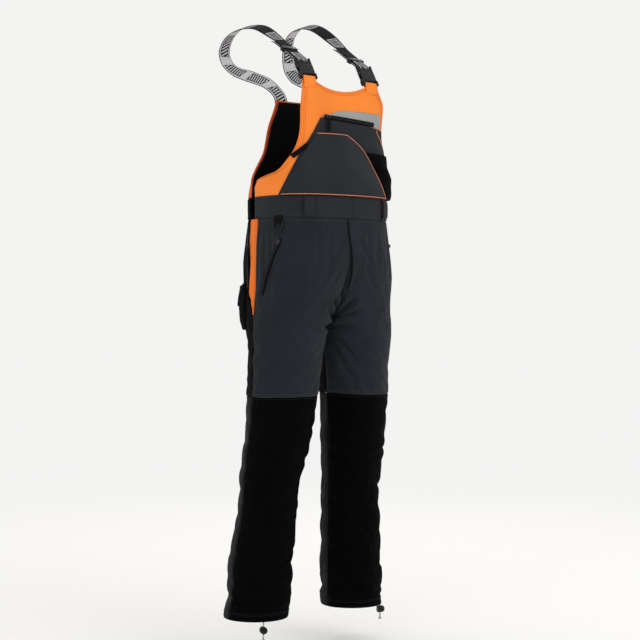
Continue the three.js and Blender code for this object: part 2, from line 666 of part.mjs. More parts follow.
const CORD_LENGTH = 46;
const toggleAngle = { right: -68, left: -22 };
for (const side of [-1, 1]) {
  const name = side < 0 ? 'right' : 'left';
  const angle = toggleAngle[name];
  const top = leg(side, angle, HEM, -CLOTH / 2);
  const knot = 3.4;
  const stemLength = CORD_LENGTH - 3;
  const cord = solid(new THREE.CylinderGeometry(CORD / 2, CORD / 2, stemLength, 16)
    .translate(0, -0.4 - stemLength / 2, 0))
    .add(solid(new THREE.SphereGeometry(knot, 16, 12).translate(0, -CORD_LENGTH + 2.2, 0)));
  add(`hem_cord_${name}`, drawn(cord).rotateX(Math.PI / 2).translate(top.x, top.y, top.z), 0xa9a9a6, 0.8);

  const out = legNormal(side, angle, HEM).setZ(0).normalize();
  const across = new THREE.Vector3().crossVectors(vec(0, 0, 1), out).normalize();
  const centre = top.clone().setZ(HEM - 20);
  const place = frame(centre, across, vec(0, 0, 1), out);
  const round = (r, length, z) => solid(new THREE.CylinderGeometry(r, r, length, 20)
    .rotateX(Math.PI / 2).translate(0, 0, z));
  const bore = (r, z) => solid(new THREE.CylinderGeometry(r, r, 40, 12).translate(0, 0, z));
  const body = round(9, 15, 0).subtract(round(6.6, 15, 3.5)).subtract(bore(2.5, 0));
  add(`toggle_body_${name}`, drawn(body).applyMatrix4(place), 0x161618, 0.5);
  const slot = bore(2.5, 0).add(bore(2.5, 3.4)).add(box(5, 40, 3.4, 0, 0, 1.7));
  const button = round(6.1, 11.4, 5.2).subtract(slot);
  add(`toggle_button_${name}`, drawn(button).applyMatrix4(place), 0x161618, 0.5);
  tracks[`toggle_${name}`] = { at: centre.toArray(), out: out.toArray() };
}

tracks.ring = { at: ringBar.toArray(), axis: ringSide.toArray() };
const flapTop = leg(-1, (CARGO.from + CARGO.to) / 2, CARGO.top + 12, 2);
const flapOut = legNormal(-1, (CARGO.from + CARGO.to) / 2, CARGO.top + 12);
tracks.flap = {
  at: flapTop.toArray(),
  axis: new THREE.Vector3().crossVectors(vec(0, 0, 1), flapOut).normalize().toArray(),
  out: flapOut.toArray(),
};
group.userData.tracks = tracks;

export default group;
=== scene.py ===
# Forestry bib trousers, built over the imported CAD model.
# Shapes are worked out in millimetres and put into meshes in metres.
import math

import bmesh
import bpy
import numpy as np
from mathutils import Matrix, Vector


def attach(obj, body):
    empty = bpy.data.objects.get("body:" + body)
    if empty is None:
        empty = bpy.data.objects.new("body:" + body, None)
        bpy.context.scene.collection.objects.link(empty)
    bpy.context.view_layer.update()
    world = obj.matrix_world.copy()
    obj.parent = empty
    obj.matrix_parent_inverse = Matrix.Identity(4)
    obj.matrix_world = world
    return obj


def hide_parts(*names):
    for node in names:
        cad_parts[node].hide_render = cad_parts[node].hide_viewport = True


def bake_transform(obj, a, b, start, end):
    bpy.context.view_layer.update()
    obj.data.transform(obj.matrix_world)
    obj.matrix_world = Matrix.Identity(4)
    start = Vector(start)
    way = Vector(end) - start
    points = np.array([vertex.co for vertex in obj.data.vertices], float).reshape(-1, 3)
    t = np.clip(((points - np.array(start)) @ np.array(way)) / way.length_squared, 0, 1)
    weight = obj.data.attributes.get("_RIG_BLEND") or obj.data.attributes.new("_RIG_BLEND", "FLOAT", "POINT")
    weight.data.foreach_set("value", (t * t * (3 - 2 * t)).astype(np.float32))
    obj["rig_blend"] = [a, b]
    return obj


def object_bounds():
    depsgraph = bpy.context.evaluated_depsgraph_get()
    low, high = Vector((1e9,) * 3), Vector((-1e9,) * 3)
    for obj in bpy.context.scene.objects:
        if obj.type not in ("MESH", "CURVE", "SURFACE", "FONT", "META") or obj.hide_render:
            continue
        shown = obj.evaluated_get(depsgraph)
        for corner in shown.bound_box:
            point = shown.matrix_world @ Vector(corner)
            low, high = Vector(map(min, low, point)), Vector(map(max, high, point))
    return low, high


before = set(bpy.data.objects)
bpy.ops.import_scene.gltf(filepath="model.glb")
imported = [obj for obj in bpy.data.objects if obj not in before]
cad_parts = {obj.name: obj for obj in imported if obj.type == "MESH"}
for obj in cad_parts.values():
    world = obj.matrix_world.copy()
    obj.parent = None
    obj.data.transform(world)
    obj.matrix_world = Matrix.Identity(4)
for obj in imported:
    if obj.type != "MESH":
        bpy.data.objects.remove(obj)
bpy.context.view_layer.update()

# camera, light and floor

cameraSet = {"turn": 38.0, "distance": 4.0, "height": -0.306, "lens": 88.2, "across": 0.006}


def addCamera(s):
    a = math.radians(s["turn"])
    data = bpy.data.cameras.new("studioCamera")
    data.sensor_width = 36
    data.lens = s["lens"]
    cam = bpy.data.objects.new("studioCamera", data)
    bpy.context.collection.objects.link(cam)
    right = Vector((math.cos(a), -math.sin(a), 0))
    aim = right * s["across"] + Vector((0, 0, s["height"]))
    back = Vector((-math.sin(a), -math.cos(a), 0))
    cam.location = aim + back * s["distance"]
    cam.rotation_euler = (math.pi / 2, 0, -a)
    bpy.context.scene.camera = cam


addCamera(cameraSet)

lightSet = {"key": 34.0, "fill": 16.0, "rim": 16.0, "sky": 0.9, "size": 2.6}


def addLights(s):
    def area(name, place, power, size):
        data = bpy.data.lights.new(name, "AREA")
        data.energy = power
        data.size = size
        ob = bpy.data.objects.new(name, data)
        bpy.context.collection.objects.link(ob)
        ob.location = place
        ob.rotation_euler = (Vector((0, 0, -0.3)) - Vector(place)).to_track_quat("-Z", "Y").to_euler()

    area("keyLight", (0.6, -3.4, 1.6), s["key"], s["size"])
    area("fillLight", (-3.2, -2.2, 0.6), s["fill"], s["size"])
    area("rimLight", (2.4, 2.6, 1.8), s["rim"], 1.6)
    world = bpy.data.worlds.new("studioWorld")
    world.use_nodes = True
    back = world.node_tree.nodes["Background"]
    back.inputs[0].default_value = (1.0, 0.995, 0.985, 1)
    back.inputs[1].default_value = s["sky"]
    bpy.context.scene.world = world


addLights(lightSet)
bpy.context.scene.view_settings.view_transform = "Standard"


def addNode(tree, kind, **values):
    node = tree.nodes.new(kind)
    for key, value in values.items():
        if hasattr(node, key):
            setattr(node, key, value)
        else:
            node.inputs[key.replace("_", " ")].default_value = value
    return node


def addFloor():
    lo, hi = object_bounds()
    mesh = bpy.data.meshes.new("studioFloor")
    r, z = 40, lo[2] - 0.05
    mesh.from_pydata([(-r, -r, z), (r, -r, z), (r, r, z), (-r, r, z)], [], [(0, 1, 2, 3)])
    ob = bpy.data.objects.new("studioFloor", mesh)
    bpy.context.collection.objects.link(ob)
    mat = bpy.data.materials.new("paleFloor")
    mat.use_nodes = True
    bsdf = mat.node_tree.nodes["Principled BSDF"]
    bsdf.inputs["Base Color"].default_value = (0.93, 0.92, 0.9, 1)
    bsdf.inputs["Roughness"].default_value = 0.9
    link = mat.node_tree.links.new
    place = addNode(mat.node_tree, "ShaderNodeTexCoord")
    away = addNode(mat.node_tree, "ShaderNodeVectorMath", operation="LENGTH")
    link(place.outputs["Object"], away.inputs[0])
    fade = addNode(mat.node_tree, "ShaderNodeMapRange", interpolation_type="SMOOTHSTEP")
    fade.inputs["From Min"].default_value = 1.9
    fade.inputs["From Max"].default_value = 5.0
    link(away.outputs["Value"], fade.inputs["Value"])
    glow = addNode(mat.node_tree, "ShaderNodeEmission")
    glow.inputs["Color"].default_value = (0.896, 0.896, 0.888, 1)
    blend = addNode(mat.node_tree, "ShaderNodeMixShader")
    link(fade.outputs[0], blend.inputs[0])
    link(bsdf.outputs[0], blend.inputs[1])
    link(glow.outputs[0], blend.inputs[2])
    link(blend.outputs[0], mat.node_tree.nodes["Material Output"].inputs["Surface"])
    mesh.materials.append(mat)


addFloor()
print("stage: camera, lights and floor")

# the worn shape, row by row

# height, half width, front depth, back depth, squareness
torsoRows = [(-54, 180, 135, 135, 2.6), (0, 180, 135, 135, 2.6), (54, 178, 122, 116, 2.6),
             (110, 178, 107, 92, 2.8), (180, 178, 102, 70, 3.3), (252, 178, 97, 52, 4.6),
             (310, 178, 95, 46, 6)]
# height, centre out, half width, centre back, half depth, squareness
legRows = [(-1052, 155, 81, 55, 82, 2), (-765, 134, 74, 35, 76, 2), (-637, 126, 81, 15, 82, 2),
           (-510, 116, 88, -2, 89, 2), (-382, 108, 94, -8, 96, 2), (-300, 100, 101, -5, 104, 2.2),
           (-230, 75, 117, 0, 120, 2.5), (-153, 45, 142, 0, 138, 2.6), (-54, 0, 180, 0, 135, 2.6),
           (0, 0, 180, 0, 135, 2.6)]


def station(rows, z):
    t = np.array(rows, float)
    z = np.asarray(z, float)
    i = np.clip(np.searchsorted(t[:, 0], z) - 1, 0, len(t) - 2)
    a, b = t[i], t[i + 1]
    p, q = t[np.maximum(i - 1, 0)], t[np.minimum(i + 2, len(t) - 1)]
    span = (b - a)[..., :1]
    f = np.clip((z[..., None] - a[..., :1]) / span, 0, 1)
    m0 = (b - p)[..., 1:] / (b - p)[..., :1] * span
    m1 = (q - a)[..., 1:] / (q - a)[..., :1] * span
    out = (a[..., 1:] * (2 * f**3 - 3 * f**2 + 1) + m0 * (f**3 - 2 * f**2 + f)
           + b[..., 1:] * (3 * f**2 - 2 * f**3) + m1 * (f**3 - f**2))
    return np.moveaxis(out, -1, 0)


def reach(c, s, a, b, n):
    return (np.abs(c / a) ** n + np.abs(s / b) ** n) ** (-1 / n)


def torsoAt(angle, z):
    half, front, back, n = station(torsoRows, z)
    s, c = np.sin(np.radians(angle)), np.cos(np.radians(angle))
    r = reach(s, c, half, np.where(c > 0, front, back), n)
    return np.stack(np.broadcast_arrays(r * s, -r * c, z), -1)


def legAt(side, angle, z):
    cx, a, cy, b, n = station(legRows, z)
    c, s = np.cos(np.radians(angle)), np.sin(np.radians(angle))
    r = reach(c, s, a, b, n)
    return np.stack(np.broadcast_arrays(side * (cx + r * c), cy + r * s, z), -1)


def unit(v):
    return v / np.maximum(np.linalg.norm(v, axis=-1, keepdims=True), 1e-9)


def normalTo(at, angle, z, flip=1):
    n = unit(np.cross(at(angle + 0.4, z) - at(angle - 0.4, z), at(angle, z + 1) - at(angle, z - 1)))
    return n * flip


def torsoNormal(angle, z):
    return normalTo(torsoAt, angle, z)


def legNormal(side, angle, z):
    return normalTo(lambda t, h: legAt(side, t, h), angle, z, side)


def innerAngle(z):
    cx, a, cy, b, n = station(legRows, z)
    most = 180 - np.degrees(0.25 / b)
    ratio = np.clip(np.abs(cx - 0.25) / a, 0, 1)
    t = np.degrees(np.arctan2(b * (1 - ratio**n) ** (1 / n), 0.25 - cx))
    return np.where(cx - 0.25 >= a, most, np.minimum(t, most))


def angleAt(x, z):
    half, front, back, n = station(torsoRows, z)
    y = front * (1 - np.minimum(np.abs(x) / half, 0.999) ** n) ** (1 / n)
    return np.degrees(np.arctan2(x, y))


def smooth(x, lo=0.0, hi=1.0):
    f = np.clip((np.asarray(x, float) - lo) / (hi - lo), 0, 1)
    return f * f * (3 - 2 * f)


def lerp(a, b, f):
    return a + (b - a) * f


# folds


# soft smooth noise: a sum of a few random waves
def ripple(seed, u, v, size, stretch=1.0, turn=0.0):
    r = np.random.default_rng(seed)
    total = 0
    c, s = math.cos(turn), math.sin(turn)
    for _ in range(9):
        a = r.uniform(0, 2 * math.pi)
        k = 2 * math.pi / (size * r.uniform(0.75, 1.5))
        x, y = (u * c + v * s) / stretch, -u * s + v * c
        total = total + np.sin(k * (math.cos(a) * x + math.sin(a) * y) + r.uniform(0, 6.28))
    return total / 3.0


# the crease from the crotch, folds behind the knee, and soft sag lines down the shin
foldSet = {"whisker": 8.5, "knee": 3.8, "shin": 1.2, "drift": 1.8, "hem": 0.6}


# a valley from a to b with a soft ridge on each side; a and b are (u, v)
def crease(u, v, a, b, width, depth):
    a, b = np.array(a, float), np.array(b, float)
    d = b - a
    length = np.linalg.norm(d)
    d = d / length
    along = ((u - a[0]) * d[0] + (v - a[1]) * d[1]) / length
    across = ((u - a[0]) * -d[1] + (v - a[1]) * d[0]) / width
    fade = smooth(along, -0.15, 0.12) * (1 - smooth(along, 0.6, 1.15))
    return -depth * fade * (np.exp(-across**2 * 2.2) - 0.55 * np.exp(-((np.abs(across) - 1.5) ** 2) * 1.6))


legSim = {}

# from and to as arc and height, then width and depth
crotchFolds = [(112, -300, 40, -246, 8, 1.0), (116, -304, 34, -276, 7, 0.8), (110, -292, 62, -214, 8, 0.8),
               (118, -318, 46, -322, 8, 0.7), (96, -262, 70, -170, 9, 0.5)]
kneeFolds = [(120, -560, -20, -600, 11, 0.6), (130, -640, -10, -668, 12, 0.8),
             (-120, -620, 10, -655, 11, 0.7), (110, -770, -10, -800, 11, 0.6),
             (-110, -742, 0, -716, 11, 0.5), (130, -850, 10, -905, 12, 0.6)]


# how far the cloth stands out from the plain leg; arc runs from the front middle
def legFolds(side, angle, z):
    cx, a, cy, b, n = station(legRows, z)
    arc = (angle + 90) * math.pi / 180 * a
    f = foldSet
    total = f["drift"] * ripple(11 + side, arc, z, 150, 1.6) * smooth(-z, 60, 200)
    shin = smooth(-z, 470, 620)
    total = total + shin * f["shin"] * ripple(21 + side, arc, z * 1.35, 95, 2.6)
    total = total + smooth(-z, 880, 1000) * f["hem"] * ripple(31 + side, arc, z * 1.6, 70, 2.2)
    inward = -(angle + 90) * math.pi / 180 * a
    for (u0, v0, u1, v1, w, d) in crotchFolds:
        total = total + crease(inward, z, (u0, v0), (u1, v1), w, d * f["whisker"])
    for (u0, v0, u1, v1, w, d) in kneeFolds:
        total = total + crease(inward, z, (u0, v0), (u1, v1), w, d * f["knee"])
    edge = np.minimum(smooth(innerAngle(z) - np.abs(angle), 0, 9), smooth(-54 - z, 0, 40))
    return total * edge


def readField(field, s, z):
    rows, cols = field["d"].shape[:2]
    y = np.clip((z - field["z0"]) / (field["z1"] - field["z0"]), 0, 1) * (rows - 1)
    x = np.clip(s, 0, 1) * (cols - 1)
    i, j = np.minimum(y.astype(int), rows - 2), np.minimum(x.astype(int), cols - 2)
    fy, fx = (y - i)[..., None], (x - j)[..., None]
    d = field["d"]
    return (d[i, j] * (1 - fy) * (1 - fx) + d[i + 1, j] * fy * (1 - fx)
            + d[i, j + 1] * (1 - fy) * fx + d[i + 1, j + 1] * fy * fx)


def leg(side, angle, z, off=0.0):
    angle, z = np.broadcast_arrays(np.asarray(angle, float), np.asarray(z, float))
    n = legNormal(side, angle, z)
    p = legAt(side, angle, z)
    stand = legFolds(side, angle, z) + off
    p = p + n * np.asarray(stand)[..., None]
    if side in legSim:
        inner = innerAngle(z)
        p = p + readField(legSim[side], (angle + inner) / (2 * inner), z)
    p[..., 0] = side * np.maximum(side * p[..., 0], 0.15)
    return p


def torsoFolds(angle, z):
    side = np.abs(angle)
    near = smooth(side, 40, 80) * (1 - smooth(side, 118, 140)) * (1 - smooth(z, 60, 150)) * smooth(z, 2, 25)
    pull = np.sin(z / 7.5 + side / 5.5 + np.where(angle < 0, 0, 1.7)) * 1.6
    back = smooth(side, 120, 140) * smooth(z, 5, 60) * 2.4 * ripple(5, angle * 2.6, z, 130, 0.7)
    front = (1 - smooth(side, 60, 90)) * smooth(z, 30, 90) * 1.2 * ripple(6, angle * 2.4, z, 120, 1.0)
    return near * pull + back + front


def torso(angle, z, off=0.0):
    angle, z = np.broadcast_arrays(np.asarray(angle, float), np.asarray(z, float))
    return torsoAt(angle, z) + torsoNormal(angle, z) * (torsoFolds(angle, z) + off)[..., None]


# meshes


def makeMesh(name, verts, faces, mats, uv=None, matIndex=None, shade=True):
    mesh = bpy.data.meshes.new(name)
    mesh.from_pydata([tuple(v) for v in np.asarray(verts) / 1000], [], faces)
    for m in mats:
        mesh.materials.append(m)
    if matIndex is not None:
        mesh.polygons.foreach_set("material_index", matIndex)
    if uv is not None:
        layer = mesh.uv_layers.new(name="cloth")
        loops = np.zeros(len(mesh.loops), int)
        mesh.loops.foreach_get("vertex_index", loops)
        layer.data.foreach_set("uv", (np.asarray(uv)[loops] / 1000).ravel())
    if shade:
        mesh.polygons.foreach_set("use_smooth", [True] * len(mesh.polygons))
    mesh.update()
    ob = bpy.data.objects.new(name, mesh)
    bpy.context.collection.objects.link(ob)
    return ob


flatOf = {}


# a cloth panel with rolled edges: place(u, v, off) gives points; mats are (outer, lining)
def clothPanel(name, cols, rows, place, mats, thick=2.2, edge=(4.0, 1.1), crown=0.0):
    u, v = np.meshgrid(np.linspace(0, 1, cols + 1), np.linspace(0, 1, rows + 1))
    flat = place(u, v, np.zeros_like(u))
    du = np.linalg.norm(np.diff(flat, axis=1), axis=-1)
    dv = np.linalg.norm(np.diff(flat, axis=0), axis=-1)
    width = np.concatenate([np.zeros((rows + 1, 1)), np.cumsum(du, 1)], 1)
    height = np.concatenate([np.zeros((1, cols + 1)), np.cumsum(dv, 0)], 0)
    side = np.minimum(width, width[:, -1:] - width)
    ends = np.minimum(height, height[-1:, :] - height)
    away = np.minimum(side, ends)
    dip = -edge[1] * (1 - smooth(away, 0, edge[0]))
    puff = crown * smooth(away, 0, 45)
    outer = place(u, v, dip + puff)
    inner = place(u, v, np.full_like(u, -thick) + 0.0 * dip + puff)
    n = (cols + 1) * (rows + 1)
    grid = np.arange(n).reshape(rows + 1, cols + 1)
    quads = np.stack([grid[:-1, :-1], grid[:-1, 1:], grid[1:, 1:], grid[1:, :-1]], -1).reshape(-1, 4)
    a, b = outer[1, 1] - outer[0, 1], outer[0, 2] - outer[0, 1]
    out = (outer - inner)[0, 1]
    facing = np.dot(np.cross(b, a), out) > 0
    front = quads if facing else quads[:, ::-1]
    rim = np.concatenate([grid[0, :], grid[1:, -1], grid[-1, ::-1][1:], grid[::-1, 0][1:]])
    strip = np.stack([rim[:-1], rim[1:], rim[1:] + n, rim[:-1] + n], -1)
    strip = strip[:, ::-1] if facing else strip
    faces = np.concatenate([front, front[:, ::-1] + n, strip]).tolist()
    verts = np.concatenate([outer.reshape(-1, 3), inner.reshape(-1, 3)])
    wide = np.broadcast_to(width, u.shape)
    uv = np.stack([wide.ravel(), height.ravel()], -1)
    uv = np.concatenate([uv, uv])
    index = [0] * len(quads) + [1] * len(quads) + [0] * len(strip)
    cut = (dv[:, :-1] + dv[:, 1:]) / 2 * (du[:-1] + du[1:]) / 2
    flatOf[name] = (width.max() / 1000, height.max() / 1000, cut.sum() / 1e6)
    return makeMesh(name, verts, faces, mats, uv, index)


# materials


def nodesOf(name):
    mat = bpy.data.materials.new(name)
    mat.use_nodes = True
    tree = mat.node_tree
    return mat, tree, tree.nodes["Principled BSDF"]


# twill cloth: fine diagonal ribs for bump, slow colour drift, short fibres for sheen
def clothMaterial(name, colour, spread=0.12, weave=1.0, rough=0.85, sheen=0.06, fromUv=True, slubs=0.5):
    mat, tree, bsdf = nodesOf(name)
    link = tree.links.new
    coord = addNode(tree, "ShaderNodeTexCoord")
    source = coord.outputs["UV"] if fromUv else coord.outputs["Object"]
    turn = addNode(tree, "ShaderNodeMapping")
    turn.inputs["Rotation"].default_value = (0, 0, math.radians(38))
    link(source, turn.inputs["Vector"])
    twill = addNode(tree, "ShaderNodeTexWave", wave_type="BANDS")
    twill.inputs["Scale"].default_value = 330 / weave
    twill.inputs["Distortion"].default_value = 1.2
    twill.inputs["Detail"].default_value = 1.0
    link(turn.outputs[0], twill.inputs["Vector"])
    yarn = addNode(tree, "ShaderNodeTexNoise")
    yarn.inputs["Scale"].default_value = 900 / weave
    yarn.inputs["Detail"].default_value = 3.0
    link(source, yarn.inputs["Vector"])
    drift = addNode(tree, "ShaderNodeTexNoise")
    drift.inputs["Scale"].default_value = 14.0
    drift.inputs["Detail"].default_value = 5.0
    link(coord.outputs["Object"], drift.inputs["Vector"])
    ramp = addNode(tree, "ShaderNodeMapRange")
    ramp.inputs["From Min"].default_value = 0.25
    ramp.inputs["From Max"].default_value = 0.75
    ramp.inputs["To Min"].default_value = 1 - spread
    ramp.inputs["To Max"].default_value = 1 + spread
    link(drift.outputs["Fac"], ramp.inputs["Value"])
    rib = addNode(tree, "ShaderNodeMapRange")
    rib.inputs["To Min"].default_value = 0.86
    rib.inputs["To Max"].default_value = 1.1
    link(twill.outputs["Fac"], rib.inputs["Value"])
    both = addNode(tree, "ShaderNodeMath", operation="MULTIPLY")
    link(ramp.outputs[0], both.inputs[0])
    link(rib.outputs[0], both.inputs[1])
    tint = addNode(tree, "ShaderNodeVectorMath", operation="SCALE")
    tint.inputs[0].default_value = colour
    link(both.outputs[0], tint.inputs["Scale"])
    link(tint.outputs[0], bsdf.inputs["Base Color"])
    high = addNode(tree, "ShaderNodeMath", operation="MULTIPLY_ADD")
    high.inputs[1].default_value = slubs
    link(yarn.outputs["Fac"], high.inputs[0])
    link(twill.outputs["Fac"], high.inputs[2])
    bump = addNode(tree, "ShaderNodeBump")
    bump.inputs["Strength"].default_value = 0.35
    bump.inputs["Distance"].default_value = 0.0006
    link(high.outputs[0], bump.inputs["Height"])
    link(bump.outputs[0], bsdf.inputs["Normal"])
    bsdf.inputs["Roughness"].default_value = rough
    bsdf.inputs["Sheen Weight"].default_value = sheen
    bsdf.inputs["Sheen Roughness"].default_value = 0.5
    bsdf.inputs["Specular IOR Level"].default_value = 0.03 if max(colour) < 0.006 else 0.12
    return mat


# moulded plastic or painted metal with a fine cast grain and slight scuffs
def plasticMaterial(name, colour, rough=0.42, grain=1.0, metal=0.0):
    mat, tree, bsdf = nodesOf(name)
    link = tree.links.new
    coord = addNode(tree, "ShaderNodeTexCoord")
    grainNoise = addNode(tree, "ShaderNodeTexNoise")
    grainNoise.inputs["Scale"].default_value = 1400.0
    link(coord.outputs["Object"], grainNoise.inputs["Vector"])
    scuff = addNode(tree, "ShaderNodeTexNoise")
    scuff.inputs["Scale"].default_value = 90.0
    scuff.inputs["Detail"].default_value = 6.0
    link(coord.outputs["Object"], scuff.inputs["Vector"])
    wear = addNode(tree, "ShaderNodeMapRange")
    wear.inputs["From Min"].default_value = 0.35
    wear.inputs["From Max"].default_value = 0.7
    wear.inputs["To Min"].default_value = rough - 0.08
    wear.inputs["To Max"].default_value = rough + 0.14
    link(scuff.outputs["Fac"], wear.inputs["Value"])
    link(wear.outputs[0], bsdf.inputs["Roughness"])
    shade = addNode(tree, "ShaderNodeMapRange")
    shade.inputs["To Min"].default_value = 0.85
    shade.inputs["To Max"].default_value = 1.25
    link(scuff.outputs["Fac"], shade.inputs["Value"])
    tint = addNode(tree, "ShaderNodeVectorMath", operation="SCALE")
    tint.inputs[0].default_value = colour
    link(shade.outputs[0], tint.inputs["Scale"])
    link(tint.outputs[0], bsdf.inputs["Base Color"])
    bump = addNode(tree, "ShaderNodeBump")
    bump.inputs["Strength"].default_value = 0.15 * grain
    bump.inputs["Distance"].default_value = 0.0002
    link(grainNoise.outputs["Fac"], bump.inputs["Height"])
    link(bump.outputs[0], bsdf.inputs["Normal"])
    bsdf.inputs["Metallic"].default_value = metal
    if not metal:
        bsdf.inputs["Specular IOR Level"].default_value = 0.2
    return mat


orangeCloth = clothMaterial("orangeCloth", (0.87, 0.225, 0.03), spread=0.06, rough=0.7)
orangeEdge = clothMaterial("orangeEdgeTape", (0.66, 0.12, 0.015), spread=0.06)
# the side stripes get a darker, deeper copy of the orange cloth: painted shade for sides turned from the
# light
orangeShadedSide = clothMaterial("orangeShadedSideCloth", (0.80, 0.17, 0.02), spread=0.06)
charcoalCloth = clothMaterial("charcoalCloth", (0.0170, 0.0190, 0.0240), spread=0.14, sheen=0.04)
charcoalThigh = clothMaterial("charcoalThighCloth", (0.0115, 0.0145, 0.0190), spread=0.14, sheen=0.05)
blackCloth = clothMaterial("blackCloth", (0.0012, 0.0012, 0.0017), spread=0.25, sheen=0.003)
seatCloth = clothMaterial("seatCloth", (0.0040, 0.0042, 0.0050), spread=0.15, sheen=0.01)
stretchGrey = clothMaterial("stretchGreyCloth", (0.0085, 0.0098, 0.0112), spread=0.14, sheen=0.03)
liningCloth = clothMaterial("meshLining", (0.0045, 0.0040, 0.0042), spread=0.1, sheen=0.01, weave=2.2)
padFibre = clothMaterial("padFibre", (0.62, 0.58, 0.47), spread=0.08, weave=2.5)
salmonPiping = clothMaterial("salmonPiping", (0.74, 0.25, 0.12), spread=0.05, weave=1.4, fromUv=False)
blackTape = clothMaterial("blackTape", (0.0045, 0.0045, 0.0052), spread=0.1, weave=2.0, sheen=0.03)
orangeBinding = clothMaterial("orangeBinding", (0.80, 0.19, 0.025), spread=0.05, fromUv=False)
darkBinding = clothMaterial("deepOrangeBinding", (0.50, 0.075, 0.010), spread=0.06, fromUv=False)
solidTape = clothMaterial("blackWebbing", (0.0050, 0.0050, 0.0056), spread=0.1, weave=2.0, sheen=0.03,
                          fromUv=False)
threadGrey = clothMaterial("greyThread", (0.045, 0.050, 0.056), fromUv=False, spread=0.02)
threadBlack = clothMaterial("blackThread", (0.012, 0.012, 0.013), fromUv=False, spread=0.02)
threadOrange = clothMaterial("orangeThread", (0.52, 0.10, 0.015), fromUv=False, spread=0.02)
cordGrey = clothMaterial("greyElastic", (0.36, 0.36, 0.35), fromUv=False, spread=0.1, weave=2.5)
blackPlastic = plasticMaterial("blackAcetal", (0.0065, 0.0065, 0.007), 0.36)
darkMetal = plasticMaterial("darkZincSlider", (0.055, 0.056, 0.06), 0.36, 0.6, 0.9)
ringPlastic = plasticMaterial("darkRing", (0.009, 0.009, 0.011), 0.28)
zipCoil = plasticMaterial("zipCoil", (0.010, 0.010, 0.011), 0.35)


# grey glass-bead tape: fine beads and a soft silver gloss
def reflectiveMaterial():
    mat, tree, bsdf = nodesOf("reflectiveTape")
    link = tree.links.new
    coord = addNode(tree, "ShaderNodeTexCoord")
    beads = addNode(tree, "ShaderNodeTexVoronoi")
    beads.inputs["Scale"].default_value = 1500.0
    link(coord.outputs["UV"], beads.inputs["Vector"])
    bump = addNode(tree, "ShaderNodeBump")
    bump.inputs["Strength"].default_value = 0.3
    bump.inputs["Distance"].default_value = 0.0002
    link(beads.outputs["Distance"], bump.inputs["Height"])
    link(bump.outputs[0], bsdf.inputs["Normal"])
    cloud = addNode(tree, "ShaderNodeTexNoise")
    cloud.inputs["Scale"].default_value = 26.0
    link(coord.outputs["Object"], cloud.inputs["Vector"])
    shade = addNode(tree, "ShaderNodeMapRange")
    shade.inputs["To Min"].default_value = 0.9
    shade.inputs["To Max"].default_value = 1.1
    link(cloud.outputs["Fac"], shade.inputs["Value"])
    tint = addNode(tree, "ShaderNodeVectorMath", operation="SCALE")
    tint.inputs[0].default_value = (0.275, 0.275, 0.265)
    link(shade.outputs[0], tint.inputs["Scale"])
    link(tint.outputs[0], bsdf.inputs["Base Color"])
    bsdf.inputs["Roughness"].default_value = 0.5
    bsdf.inputs["Metallic"].default_value = 0.25
    return mat


reflectiveTape = reflectiveMaterial()


